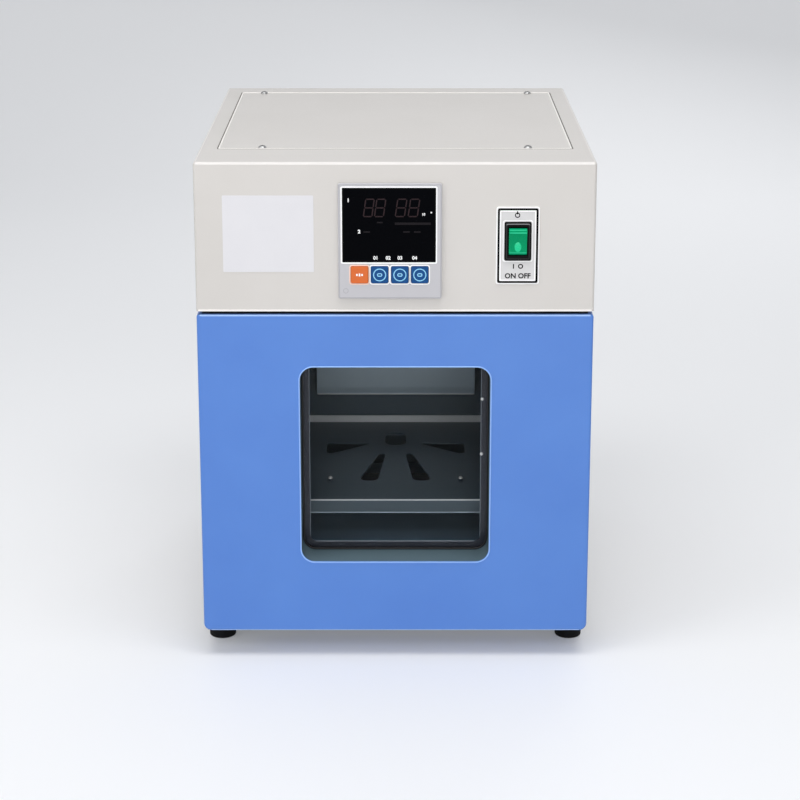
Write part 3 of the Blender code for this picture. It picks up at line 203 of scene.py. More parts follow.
def brushed_group():
    """Long fine scratches of rolled or brushed steel, in object space."""
    inputs = {"Across": 900.0, "Along": 12.0, "Cloud": 14.0}
    group, entry, result = add_group("brushed_grain", inputs, ("Grain", "Cloud"))
    place = group.nodes.new("ShaderNodeTexCoord")
    stretch = group.nodes.new("ShaderNodeCombineXYZ")
    scaled = group.nodes.new("ShaderNodeVectorMath")
    scaled.operation = "MULTIPLY"
    scratches = group.nodes.new("ShaderNodeTexNoise")
    scratches.inputs["Scale"].default_value = 1.0
    scratches.inputs["Detail"].default_value = 3.0
    cloud = group.nodes.new("ShaderNodeTexNoise")
    wire(
        group,
        (entry, "Along", stretch, "X"),
        (entry, "Across", stretch, "Y"),
        (entry, "Across", stretch, "Z"),
        (place, "Object", scaled, 0),
        (stretch, "Vector", scaled, 1),
        (scaled, "Vector", scratches, "Vector"),
        (scratches, "Fac", result, "Grain"),
        (place, "Object", cloud, "Vector"),
        (entry, "Cloud", cloud, "Scale"),
        (cloud, "Fac", result, "Cloud"),
    )
    return group


surface_grain = grain_group()
brushed_grain = brushed_group()


def mixed(tree, **paints):
    """Colour mix node, with paints given as 0 to 255 values on its sockets."""
    mix = tree.nodes.new("ShaderNodeMix")
    mix.data_type = "RGBA"
    for label, paint in paints.items():
        mix.inputs[label].default_value = linear(*paint)
    return mix


def coated(
    name, tones, gloss, group=surface_grain, bend=None, bump=0.00002, metallic=0.0, coat=0.0, specular=0.5, **sizes
):
    """Material whose tone and gloss vary with a grain group, with a second tone of painted highlight or shade on the
    faces that a mesh marks.
    """
    material = bpy.data.materials.new(name)
    material.use_nodes = True
    tree = material.node_tree
    shader = tree.nodes["Principled BSDF"]
    shader.inputs["Metallic"].default_value = metallic
    shader.inputs["Coat Weight"].default_value = coat
    shader.inputs["Coat Roughness"].default_value = 0.12
    shader.inputs["Specular IOR Level"].default_value = specular
    grain = tree.nodes.new("ShaderNodeGroup")
    grain.node_tree = group
    for label, value in sizes.items():
        grain.inputs[label.title()].default_value = value
    tone = mixed(tree, A=tones[0], B=tones[1])
    wire(tree, (grain, "Cloud", tone, "Factor"), (tone, "Result", shader, "Base Color"))
    if bend:
        # Painted highlight and shade: faces marked with the bend attribute take the second tone.
        mark = tree.nodes.new("ShaderNodeAttribute")
        mark.attribute_name = "bend"
        painted_light_mix = mixed(tree, B=bend)
        wire(tree, (mark, "Fac", painted_light_mix, "Factor"), (tone, "Result", painted_light_mix, "A"), (painted_light_mix, "Result", shader, "Base Color"))
    polish = tree.nodes.new("ShaderNodeMapRange")
    for label, value in (("From Min", 0.3), ("From Max", 0.7), ("To Min", gloss[0]), ("To Max", gloss[1])):
        polish.inputs[label].default_value = value
    wire(tree, (grain, "Grain", polish, "Value"), (polish, "Result", shader, "Roughness"))
    if bump:
        relief = tree.nodes.new("ShaderNodeBump")
        relief.inputs["Strength"].default_value = 0.6
        relief.inputs["Distance"].default_value = bump
        wire(tree, (grain, "Grain", relief, "Height"), (relief, "Normal", shader, "Normal"))
    return material


def plain(piece):
    """Turn a piece's modifiers into its mesh."""
    seen = piece.evaluated_get(bpy.context.evaluated_depsgraph_get())
    mesh = bpy.data.meshes.new_from_object(seen)
    piece.modifiers.clear()
    piece.data = mesh
    return piece


def fit(piece, material, slot, *nodes, body=None):
    """Give a finished piece its material and body, and let it stand for CAD nodes."""
    piece.data.materials.clear()
    piece.data.materials.append(material)
    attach(piece, body or (frame["nodes"][nodes[0]]["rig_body"] if nodes else "cabinet"))
    if nodes:
        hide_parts(*nodes)
    return piece


def softened(node, edge, segments=2, clamp=True):
    """Copy of a node's solid with merged corners, softened edges and smooth bends."""
    mesh = frame["nodes"][node].data.copy()
    shape = bmesh.new()
    shape.from_mesh(mesh)
    bmesh.ops.remove_doubles(shape, verts=shape.verts, dist=1e-6)
    bmesh.ops.dissolve_limit(shape, angle_limit=math.radians(0.6), verts=shape.verts, edges=shape.edges)
    shape.to_mesh(mesh)
    shape.free()
    mesh.shade_smooth()
    mesh.set_sharp_from_angle(angle=CREASE)
    piece = add_object(node + "_finished", mesh)
    if edge:
        bevel = piece.modifiers.new("edge", "BEVEL")
        bevel.width = edge
        bevel.segments = segments
        bevel.limit_method = "ANGLE"
        bevel.angle_limit = CREASE
        bevel.harden_normals = True
        bevel.use_clamp_overlap = clamp
    shading = piece.modifiers.new("shading", "WEIGHTED_NORMAL")
    shading.keep_sharp = True
    return plain(piece)


def mark_painted_light(piece, rule):
    """Mark each face with the share of the painted highlight or shade tone that a rule gives for the face and its
    corners.
    """
    mesh = piece.data
    bend = mesh.attributes.new("bend", "FLOAT", "FACE")
    for face in mesh.polygons:
        corners = [mesh.vertices[i].co for i in face.vertices]
        bend.data[face.index].value = float(rule(face, corners))
    return piece


def narrow(length, width, axes=(0,)):
    """Rule for faces that run along an axis further than a length and are narrower than a width."""

    def rule(face, corners):
        reach = max(max(point[axis] for point in corners) - min(point[axis] for point in corners) for axis in axes)
        return reach > length and face.area < reach * width

    return rule


def dress(node, material, slot, edge=0.0, segments=2, rule=None, clamp=True):
    """Let a softened copy of a node's solid, with faces marked by a rule for a painted highlight or shade tone, stand
    for the node.
    """
    piece = softened(node, edge, segments, clamp)
    if rule:
        mark_painted_light(piece, rule)
    return fit(piece, material, slot, node)


def mesh_of(shape, name):
    """Turn a worked shape into a mesh."""
    mesh = bpy.data.meshes.new(name)
    shape.to_mesh(mesh)
    shape.free()
    return mesh


def block_mesh(name, low, high):
    """Closed block between two corners."""
    shape = bmesh.new()
    bmesh.ops.create_cube(shape, size=1.0)
    size = Vector(high) - Vector(low)
    bmesh.ops.scale(shape, vec=size, verts=shape.verts)
    bmesh.ops.translate(shape, vec=Vector(low) + size / 2, verts=shape.verts)
    return mesh_of(shape, name)


def hem_strip(name, half, face, level, height, rise, finish, slot, body="cabinet"):
    """Soft-edged strip that stands in front of a face, along its lower edge."""
    strip = add_object(name, block_mesh(name, (-half, face - rise, level), (half, face + rise, level + height)))
    fold = strip.modifiers.new("fold", "BEVEL")
    fold.width = rise * 0.8
    fold.segments = 3
    return fit(plain(strip), finish, slot, body=body)


housing_paint = coated(
    "housing_powder_coat",
    ((208, 204, 200), (200, 196, 191)),
    POWDER_GLOSS,
    bend=(219, 215, 212),
    bump=POWDER_PEEL,
    coat=0.25,
)
# Light paint for painted highlight lines, on the housing's hem and on the cover's rim.
highlight_paint = coated("painted_highlight_coat", ((241, 238, 234), (237, 233, 229)), POWDER_GLOSS, bump=POWDER_PEEL)
# The shell's narrow bends take the lighter bend tone, a painted highlight.
dress("cabinet_shell", housing_paint, "housing_paint", edge=0.0004, rule=narrow(0.1, 0.0016, (0, 1)))
hem_level = base_z + HOUSING_BOTTOM
# The hem strip is a painted highlight line along the housing's lower edge.
hem_strip("housing_hem", HEM_HALF, front_y, hem_level, HEM_HEIGHT, HEM_RISE, highlight_paint, "housing_paint")

# Top cover: a flat steel plate of the same paint, let into the top of the shell with a thin line round it.
# A low rolled rim runs round its edge, and a grey band fills the seam. The rim and the cover's bends carry
# painted highlights, and the grey band is painted shade in the seam.


def geometry_tree(name, inputs):
    """Geometry tree with named inputs, and its nodes that take them in and that gather the finished pieces."""
    tree = bpy.data.node_groups.new(name, "GeometryNodeTree")
    for label, kind in (inputs | {"Finish": "Material"}).items():
        tree.interface.new_socket(label, in_out="INPUT", socket_type="NodeSocket" + kind)
    tree.interface.new_socket("Pieces", in_out="OUTPUT", socket_type="NodeSocketGeometry")
    entry = tree.nodes.new("NodeGroupInput")
    result = tree.nodes.new("NodeGroupOutput")
    real = tree.nodes.new("GeometryNodeRealizeInstances")
    coat = tree.nodes.new("GeometryNodeSetMaterial")
    wire(
        tree,
        (real, "Geometry", coat, "Geometry"),
        (entry, "Finish", coat, "Material"),
        (coat, "Geometry", result, "Pieces"),
    )
    return tree, entry, real


def band_tree():
    """Geometry tree that sweeps a soft-edged band along a rounded rectangle, then turns and places it."""
    inputs = dict.fromkeys(("Width", "Height", "Corner", "Band", "Rise", "Softness"), "Float")
    tree, entry, real = geometry_tree("band_on_outline", inputs | {"Place": "Vector", "Turn": "Vector"})

    def rounded(width, height, corner, count):
        quad = tree.nodes.new("GeometryNodeCurvePrimitiveQuadrilateral")
        fillet = tree.nodes.new("GeometryNodeFilletCurve")
        fillet.mode = "POLY"
        fillet.inputs["Count"].default_value = count
        fillet.inputs["Limit Radius"].default_value = True
        wire(
            tree,
            (entry, width, quad, "Width"),
            (entry, height, quad, "Height"),
            (quad, "Curve", fillet, "Curve"),
            (entry, corner, fillet, "Radius"),
        )
        return fillet

    upright = tree.nodes.new("GeometryNodeSetCurveNormal")
    upright.mode = "Z_UP"
    sweep = tree.nodes.new("GeometryNodeCurveToMesh")
    move = tree.nodes.new("GeometryNodeTransform")
    wire(
        tree,
        (rounded("Width", "Height", "Corner", 12), "Curve", upright, "Curve"),
        (upright, "Curve", sweep, "Curve"),
        (rounded("Band", "Rise", "Softness", 3), "Curve", sweep, "Profile Curve"),
        (sweep, "Mesh", move, "Geometry"),
        (entry, "Place", move, "Translation"),
        (entry, "Turn", move, "Rotation"),
        (move, "Geometry", real, "Geometry"),
    )
    return tree


band_on_outline = band_tree()


def run_tree(piece, tree, values):
    """Run a geometry tree on a piece with the values given, and make the result its mesh."""
    run = piece.modifiers.new("run", "NODES")
    run.node_group = tree
    for socket in tree.interface.items_tree:
        if socket.name in values:
            run[socket.identifier] = values[socket.name]
    return plain(piece)


def outward(mesh, merge=1e-7):
    """Merge a mesh's doubles and turn its faces outwards."""
    shape = bmesh.new()
    shape.from_mesh(mesh)
    bmesh.ops.remove_doubles(shape, verts=shape.verts, dist=merge)
    bmesh.ops.recalc_face_normals(shape, faces=shape.faces)
    shape.to_mesh(mesh)
    shape.free()
    mesh.shade_smooth()
    mesh.set_sharp_from_angle(angle=math.radians(40))
    return mesh


def band(name, centre, face, size, corner, width, rise, finish, slot, *nodes, body=None, soft=0.0001, lying=False):
    """Band on an upright face of the front, or lying on a level one: its middle line has the size and corner given."""
    place, turn = (centre[0], front_y + face - rise / 2, base_z + centre[1]), (math.pi / 2, 0, 0)
    if lying:
        place, turn = (centre[0], front_y + centre[1], base_z + face + rise / 2), (0, 0, 0)
    values = {"Width": size[0], "Height": size[1], "Corner": corner, "Band": width, "Rise": rise, "Softness": soft}
    item = add_object(name, bpy.data.meshes.new(name))
    run_tree(item, band_on_outline, values | {"Place": place, "Turn": turn, "Finish": finish})
    outward(item.data)
    return fit(item, finish, slot, *nodes, body=body)


def grown(size, more):
    """Size of a rectangle with more width and height, or less with a negative number."""
    return size[0] + more, size[1] + more


def face_of(node, lying=False):
    """Middle and size of a node's front face and its depth, or those of its top and its level, as a band takes them."""
    low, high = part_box(node)
    if lying:
        middle = ((low.x + high.x) / 2, (low.y + high.y) / 2 - front_y)
        return middle, (high.x - low.x, high.y - low.y), high.z - base_z
    middle = ((low.x + high.x) / 2, (low.z + high.z) / 2 - base_z)
    return middle, (high.x - low.x, high.z - low.z), low.y - front_y


# The cover's narrow bends take the lighter bend tone, a painted highlight.
dress("top_cover", housing_paint, "housing_paint", edge=0.0009, segments=3, rule=narrow(0.1, 0.0008, (0, 1)))
# The seam band is painted shade: a grey strip in the gap round the cover.
seam_shade_tone = coated("cover_seam", ((104, 100, 95), (92, 89, 85)), (0.5, 0.6), specular=0.1)
cover_middle, cover_size, cover_level = face_of("top_cover", lying=True)
for name, side, corner, width, rise, sunk, soft, finish, slot in (
    ("cover_rim", -1, 0.0012, 0.0016, 0.0010, 0.0005, 0.0004, highlight_paint, "housing_paint"),
    ("cover_seam", 1, 0.0020, 0.0011, 0.0004, 0.0003, 0.00005, seam_shade_tone, "rubber"),
):
    size = grown(cover_size, side * width)
    band(name, cover_middle, cover_level - sunk, size, corner, width, rise, finish, slot, soft=soft, lying=True)

# Rear panel and front frame: flat painted sheets, one behind the works and one round the chamber's mouth.
# The rear one is held by screws and has a row of punched air slots.
SHEET_EDGE = 0.0002
for node in ("rear_panel", "front_frame"):
    dress(node, housing_paint, "housing_paint", SHEET_EDGE, segments=1)

# Base pan, component deck and hinge plates: zinc plated sheet steel, left bare.
# The feet are screwed through the pan, and the deck carries the relay and the terminals.
zinc = coated(
    "zinc_plate",
    ((176, 178, 178), (150, 153, 156)),
    (0.28, 0.42),
    brushed_grain,
    metallic=1.0,
    across=700.0,
    along=40.0,
    cloud=60.0,
)
for node in ("base_pan", "component_deck", "hinge_bracket_upper", "hinge_bracket_lower"):
    dress(node, zinc, "plated_steel", SHEET_EDGE, segments=1)
for node in ("hinge_pin_upper", "hinge_pin_lower"):
    dress(node, zinc, "plated_steel", edge=0.0003)

# Screws: turned steel, with pan heads and a cross recess in the top cover and the rear panel, and plain in the feet.
# They are screwed into the folds of the shell, and into the base pan from below.
screw_steel = coated("screw_steel", ((196, 196, 194), (168, 169, 170)), (0.2, 0.34), brushed_grain, metallic=1.0)
SCREW_HEAD = 0.0039
SCREW_RISE = 0.0022
SCREW_SHANK = 0.0020
SCREW_LENGTH = 0.008
CROSS_REACH = 0.0021
CROSS_HALF = 0.00042
CROSS_DEPTH = 0.0011


def turned_mesh(name, profile, steps=32):
    """Mesh of (radius, height) points turned about Z."""
    shape = bmesh.new()
    points = [shape.verts.new((radius, 0, height)) for radius, height in profile]
    edges = [shape.edges.new(pair) for pair in zip(points, points[1:])]
    bmesh.ops.spin(
        shape, geom=points + edges, angle=2 * math.pi, steps=steps, axis=(0, 0, 1), cent=(0, 0, 0), use_merge=True
    )
    return outward(mesh_of(shape, name), 1e-6)


def cut_by(piece, mesh, operation="DIFFERENCE"):
    """Cut a piece by a closed mesh, or keep only what lies inside it."""
    cutter = add_object("cutter", mesh)
    cut = piece.modifiers.new("cut", "BOOLEAN")
    cut.object = cutter
    cut.operation = operation
    cut.solver = "EXACT"
    plain(piece)
    bpy.data.objects.remove(cutter)


def screw_template():
    """Pan head screw along Z with its seat at the origin and a cross cut in its head."""
    dome = [(SCREW_HEAD * math.sin(turn), SCREW_RISE * math.cos(turn)) for turn in (0.0, 0.3, 0.6, 0.9, 1.2, 1.45)]
    profile = dome + [(SCREW_HEAD, 0.0), (SCREW_SHANK, 0.0), (SCREW_SHANK, -SCREW_LENGTH), (0.0, -SCREW_LENGTH)]
    item = add_object("screw_template", turned_mesh("screw_template", profile))
    for x, y in ((CROSS_REACH, CROSS_HALF), (CROSS_HALF, CROSS_REACH)):
        cut_by(item, block_mesh("slot", (-x, -y, SCREW_RISE - CROSS_DEPTH), (x, y, SCREW_RISE * 2)))
    return item


def repeat_tree():
    """Geometry tree that sets a template on every point, turned to face one way."""
    inputs = {"Points": "Geometry", "Template": "Object", "Turn": "Vector"}
    tree, entry, real = geometry_tree("repeat_on_points", inputs)
    source = tree.nodes.new("GeometryNodeObjectInfo")
    place = tree.nodes.new("GeometryNodeInstanceOnPoints")
    spin = tree.nodes.new("FunctionNodeEulerToRotation")
    wire(
        tree,
        (entry, "Template", source, "Object"),
        (entry, "Points", place, "Points"),
        (source, "Geometry", place, "Instance"),
        (entry, "Turn", spin, "Euler"),
        (spin, "Rotation", place, "Rotation"),
        (place, "Instances", real, "Geometry"),
    )
    return tree


repeat_on_points = repeat_tree()


def repeated(name, template, places, turn, finish):
    """One mesh with a copy of the template on every place."""
    mesh = bpy.data.meshes.new(name)
    mesh.from_pydata([tuple(place) for place in places], [], [])
    values = {"Template": template, "Turn": turn, "Finish": finish}
    return run_tree(add_object(name, mesh), repeat_on_points, values)


template = screw_template()
for kind, turn, seat in (("cover", (0, 0, 0), "z"), ("rear", (-math.pi / 2, 0, 0), "y")):
    nodes = [f"{kind}_screw_{i}" for i in range(1, 5)]
    places = []
    for node in nodes:
        low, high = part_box(node)
        place = (low + high) / 2
        setattr(place, seat, getattr(high, seat) - SCREW_RISE)
        places.append(place)
    fit(repeated(f"{kind}_screws", template, places, turn, screw_steel), screw_steel, "plated_steel", *nodes)
bpy.data.objects.remove(template)
for i in range(1, 5):
    dress(f"foot_screw_{i}", screw_steel, "plated_steel")

# Feet: black moulded rubber bumpers with a recess for the screw.
# Rubber is dull, with a fine sandy grain from the mould.
rubber = coated("foot_rubber", ((8, 8, 10), (13, 13, 15)), (0.62, 0.82), bump=0.00006, specular=0.2, grain=1400.0)
for i in range(1, 5):
    dress(f"foot_{i}", rubber, "rubber", edge=0.0006)

# Chamber: a folded steel liner in dark satin enamel, and a lighter duct cover with a rolled lower edge, fixed by its
# flanges to the back wall. Two cross bars carry the dark slotted plate, with a lip down in front and up at the rear.
# The light tone on the hems and bends is painted highlight, the light tone on the plate's rear lip and on the
# liner's floor is painted light, and the darker tone on the duct cover's flanges is painted shade.
ENAMEL_GLOSS = (0.30, 0.42)
DUCT_FLANGE = 0.0095
ROLL_HEIGHT = 0.0110
ROLL_DEPTH = 0.0050
LIP_AREA = 0.001
LIP_SHARE = 0.05
PLATE_SHEET = 0.0016
PLATE_INSET = 0.0020


def enamel(name, tones, bend, **finish):
    """Satin enamel of the chamber's sheets."""
    return coated(name, tones, ENAMEL_GLOSS, bend=bend, grain=600.0, cloud=6.0, **finish)


def rolled(piece, height, depth, steps=4):
    """Roll the lower edge of a hat-shaped sheet back towards the wall that it is fixed to."""
    shape = bmesh.new()
    shape.from_mesh(piece.data)
    for step in range(1, steps + 1):
        level = duct_low.z + height * step / steps
        parts = shape.verts[:] + shape.edges[:] + shape.faces[:]
        bmesh.ops.bisect_plane(shape, geom=parts, plane_co=(0, 0, level), plane_no=(0, 0, 1))
    for corner in shape.verts:
        drop = (duct_low.z + height - corner.co.z) / height
        if drop > 0 and corner.co.y < (duct_low.y + duct_high.y) / 2:
            corner.co.y += depth * drop**1.3
    shape.to_mesh(piece.data)
    shape.free()
    return piece


def liner_share(face, corners):
    """Painted light: a lighter tone on the liner's floor."""
    return face.normal.z > 0.9 and face.center.z < liner_middle.z


def duct_share(face, corners):
    """Painted shade: a darker tone on the duct cover's flanges."""
    return abs(face.center.x) > duct_high.x - DUCT_FLANGE


def plate_share(face, corners):
    """Painted highlight on the plate's bends, painted light on its rear lip, and a little of it on the front lip."""
    if face.normal.y < -0.9 and face.area > LIP_AREA:
        return 1.0 if face.center.y > 0 else LIP_SHARE
    return narrow(0.1, 0.0006)(face, corners)


liner_enamel = enamel("liner_enamel", ((75, 92, 104), (63, 79, 91)), (137, 166, 188), metallic=0.2)
duct_enamel = enamel("duct_enamel", ((222, 244, 255), (206, 228, 246)), (70, 84, 92), metallic=0.2)
plate_enamel = enamel("plate_enamel", ((84, 103, 115), (72, 90, 101)), (246, 252, 255), specular=0.3)
hem_highlight_enamel = coated("hem_highlight_enamel", ((248, 252, 255), (240, 246, 250)), (0.26, 0.36), grain=600.0)
liner_middle = sum(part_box("chamber_liner"), Vector()) / 2
# The liner's floor takes the lighter second tone, painted light.
dress("chamber_liner", liner_enamel, "chamber_steel", rule=liner_share)
duct_low, duct_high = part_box("duct_cover")
# The duct cover's flanges take the darker second tone, painted shade.
duct = mark_painted_light(rolled(softened("duct_cover", edge=0.0005, segments=3), ROLL_HEIGHT, ROLL_DEPTH), duct_share)
fit(duct, duct_enamel, "chamber_steel", "duct_cover")
for node in ("shelf_support_front", "shelf_support_rear"):
    dress(node, liner_enamel, "chamber_steel", edge=0.0003)
# The plate's bends and rear lip take the light second tone, painted highlight and painted light.
plate = dress(
    "shelf_plate", plate_enamel, "chamber_steel", edge=0.0007, segments=3, rule=plate_share, clamp=False
)
plate_low, plate_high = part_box("shelf_plate")
plate_body = frame["nodes"]["shelf_plate"]["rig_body"]
plate_half = plate_high.x - PLATE_INSET
plate_top = max(face.center.z for face in plate.data.polygons if face.normal.z > 0.9 and face.area > 0.01)
duct_edge = duct_low.y + ROLL_DEPTH
rear_lip = plate_high.y - PLATE_SHEET
# These strips are painted highlights: light lines on the duct's lower edge and on the plate's lips and bend.
for name, half, face, level, height, rise, finish, body in (
    ("duct_hem", duct_high.x - 0.0105, duct_edge, duct_low.z, 0.0016, 0.0012, hem_highlight_enamel, "cabinet"),
    ("plate_hem", plate_half, plate_low.y, plate_low.z, 0.0008, 0.0005, duct_enamel, plate_body),
    ("plate_nose", plate_half, plate_low.y, plate_top - 0.0014, 0.0015, 0.0005, hem_highlight_enamel, plate_body),
    ("plate_bend", plate_half, rear_lip, plate_top, 0.0014, 0.0005, hem_highlight_enamel, plate_body),
):
    hem_strip(name, half, face, level, height, rise, finish, "chamber_steel", body)

# Heater, probe and vent: a bent stainless sheath, a probe with its hexagon nut and a tube through the wall.
# They are bare steel, slightly tinted by heat.
sheath = coated("heater_sheath", ((150, 140, 128), (120, 116, 112)), (0.3, 0.45), brushed_grain, metallic=1.0)
for node in ("heater_element", "sensor_probe", "vent_tube", "vent_damper"):
    dress(node, sheath, "plated_steel")
scorched = coated("scorched_steel", ((50, 49, 48), (38, 38, 38)), (0.4, 0.55), brushed_grain, metallic=0.5)
dress("heater_bracket", scorched, "plated_steel", SHEET_EDGE, segments=1)

# Mineral wool round the chamber: soft, matt and pale yellow, packed between the liner and the shell.
# It doesn't show once the incubator is closed.
wool = coated("mineral_wool", ((206, 196, 150), (180, 168, 120)), (0.9, 1.0), bump=0.0006, grain=350.0)
dress("chamber_insulation", wool, "mineral_wool")

# Door: a folded steel tray with welded round corners, powder coated blue and filled with wool. The window's opening
# has a rolled bead round its edge. The lighter blue on the bead and on the level bends is painted highlight.
WINDOW = (0.1790, 0.1936)
WINDOW_BOTTOM = 0.0715
WINDOW_CORNER = 0.0127
BEAD_WIDTH = 0.0013
BEAD_RISE = 0.0006
DOOR_SHEET = 0.0012
DOOR_BEND = 0.0025
LOW_CORNER = 0.0072
HIGH_CORNER = 0.0030
BORE_RADIUS = 0.0055
BORE_SPARE = 0.0003


def rounded_outline(low, high, low_corner, high_corner, steps=6):
    """Outline of an upright rectangle with round lower and upper corners, as (across, up) points."""
    points = []
    for side, level, start in ((1, 1, 0), (-1, 1, 90), (-1, -1, 180), (1, -1, 270)):
        corner = high_corner if level > 0 else low_corner
        x = (high[0] if side > 0 else low[0]) - side * corner
        z = (high[1] if level > 0 else low[1]) - level * corner
        for step in range(steps + 1):
            turn = math.radians(start + 90 * step / steps)
            points.append((x + corner * math.cos(turn), z + corner * math.sin(turn)))
    return points


def upright_prism(name, outline, near, far, bend=0.0):
    """Closed prism of an outline between two depths behind the front, with its near edge bent to a radius."""
    shape = bmesh.new()
    rings = [[shape.verts.new((x, front_y + depth, base_z + z)) for x, z in outline] for depth in (near, far)]
    shape.faces.new(rings[0])
    shape.faces.new(reversed(rings[1]))
    for i, point in enumerate(rings[0]):
        before = rings[0][i - 1]
        shape.faces.new((before, point, rings[1][i], rings[1][i - 1]))
    bmesh.ops.recalc_face_normals(shape, faces=shape.faces)
    if bend:
        edges = [edge for edge in shape.edges if all(corner in rings[0] for corner in edge.verts)]
        bmesh.ops.bevel(
            shape, geom=edges, offset=bend, offset_type="OFFSET", segments=4, profile=0.5, affect="EDGES"
        )
    return mesh_of(shape, name)


def skin_share(face, corners):
    """Painted highlight: a lighter tone on the narrow slanting faces of the door's bends."""
    return -0.9 < face.normal.y < -0.5 and narrow(0.1, 0.0012)(face, corners)


# The lighter bend tone on the door's slanting bends is a painted highlight.
door_paint = coated(
    "door_powder_coat",
    ((83, 131, 208), (73, 119, 199)),
    (0.34, 0.46),
    bend=(158, 192, 244),
    bump=POWDER_PEEL,
    coat=0.15,
    cloud=14.0,
)
# The bead's light blue is a painted highlight.
bead_highlight_paint = coated("bead_highlight_paint", ((150, 188, 244), (136, 176, 238)), (0.26, 0.36))
door_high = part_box("door_skin")[1]
door_half = door_high.x
door_height = door_high.z - base_z
door_depth = door_high.y - front_y
door_outline = rounded_outline((-door_half, 0.0), (door_half, door_height), LOW_CORNER, HIGH_CORNER)
inner_half = door_half - DOOR_SHEET
inner_outline = rounded_outline(
    (-inner_half, DOOR_SHEET), (inner_half, door_height - DOOR_SHEET), LOW_CORNER - DOOR_SHEET, HIGH_CORNER - DOOR_SHEET
)
window_low = (-WINDOW[0] / 2, WINDOW_BOTTOM)
window_high = (WINDOW[0] / 2, WINDOW_BOTTOM + WINDOW[1])
opening = rounded_outline(window_low, window_high, WINDOW_CORNER, WINDOW_CORNER, 12)
skin = add_object("door_skin_finished", upright_prism("door_skin", door_outline, 0.0, door_depth, DOOR_BEND))
cut_by(skin, upright_prism("hollow", inner_outline, DOOR_SHEET, 2 * door_depth))
cut_by(skin, upright_prism("opening", opening, -DOOR_SHEET, 2 * DOOR_SHEET))
for node in ("door_bush_lower", "door_bush_upper"):
    low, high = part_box(node)
    reach = (high.z - low.z) / 2 + BORE_SPARE
    bore = turned_mesh("bore", [(0, -reach), (BORE_RADIUS, -reach), (BORE_RADIUS, reach), (0, reach)])
    bore.transform(Matrix.Translation((low + high) / 2))
    cut_by(skin, bore)
outward(skin.data)
shading = skin.modifiers.new("shading", "WEIGHTED_NORMAL")
shading.keep_sharp = True
fit(mark_painted_light(plain(skin), skin_share), door_paint, "door_paint", "door_skin")
foam = softened("door_insulation", edge=0.0)
cut_by(foam, upright_prism("foam_block", inner_outline, 0.0, 2 * door_depth), "INTERSECT")
fit(foam, wool, "mineral_wool", "door_insulation")
window_centre = (0.0, WINDOW_BOTTOM + WINDOW[1] / 2)
bead_size, bead_corner = grown(WINDOW, BEAD_WIDTH), WINDOW_CORNER + BEAD_WIDTH / 2
band(
    "window_bead",
    window_centre,
    0.0,
    bead_size,
    bead_corner,
    BEAD_WIDTH,
    BEAD_RISE,
    bead_highlight_paint,
    "door_paint",
    body="door",
    soft=0.00028,
)

# Door's inner panel: a flat sheet behind the glass, in the chamber's dark enamel. Its opening is a little smaller
# than the window. Two small bright rivets sit on its right lip, and like them the plate's two studs have bright caps.
RIVET = (0.0017, 0.0010)
RIVET_PLACES = ((0.0831, 0.1679), (0.0834, 0.2232))
STUD = (0.0024, 0.0024)
STUD_X = 0.066
STUD_Y = 0.137
STUD_SUNK = 0.0003
DOME_ROUND = (0.0, 0.3, 0.6, 0.9, 1.2, 1.57)
panel_enamel = coated(
    "panel_enamel", ((53, 57, 68), (46, 50, 60)), ENAMEL_GLOSS, bend=(136, 146, 158), metallic=0.2, grain=700.0
)
panel = softened("door_inner_panel", edge=0.0007, segments=3)
cut_by(panel, upright_prism("panel_block", door_outline, 0.0, 2 * door_depth), "INTERSECT")
# The narrow faces round the opening take the lighter second tone, a painted highlight.
mark_painted_light(panel, narrow(0.05, 0.0010, (0, 2)))
fit(panel, panel_enamel, "chamber_steel", "door_inner_panel")
rivet_steel = coated("rivet_steel", ((252, 252, 252), (246, 246, 246)), (0.14, 0.22), brushed_grain, metallic=0.4)
lip_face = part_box("door_inner_panel")[0].y
stud_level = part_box("shelf_support_front")[1].z - STUD_SUNK
rivet_places = [(x, lip_face, base_z + z) for x, z in RIVET_PLACES]
stud_places = [(side * STUD_X, front_y + STUD_Y, stud_level) for side in (-1, 1)]
for name, (radius, rise), places, turn, body in (
    ("lip_rivets", RIVET, rivet_places, (math.pi / 2, 0, 0), "door"),
    ("stud_caps", STUD, stud_places, (0, 0, 0), "cabinet"),
):
    dome = [(radius * math.cos(angle), rise * math.sin(angle)) for angle in DOME_ROUND]
    template = add_object("rivet_template", turned_mesh("rivet_template", [(0.0, 0.0)] + dome, 20))
    fit(repeated(name, template, places, turn, rivet_steel), rivet_steel, "plated_steel", body=body)
    bpy.data.objects.remove(template)

# Window: a moulded reveal, a black rubber ring and a pane of clear glass behind it, with faint smears in its gloss.
# The ring is a soft-edged extrusion that runs once round the pane. A thin black strip along the door's top is
# painted shade for the gap under the housing.
SEAL_WIDTH = 0.0018
STRIP_HALF = 0.1800
STRIP_MIDDLE = 0.0090
STRIP_HEIGHT = 0.0007
STRIP_REACH = 0.0055
reveal = coated("window_reveal", ((101, 122, 132), (86, 106, 115)), ENAMEL_GLOSS, grain=1200.0)
dress("window_frame", reveal, "chamber_steel", edge=0.0004)
seal_rubber = coated("seal_rubber", ((16, 16, 18), (24, 24, 26)), (0.42, 0.6), grain=1600.0)
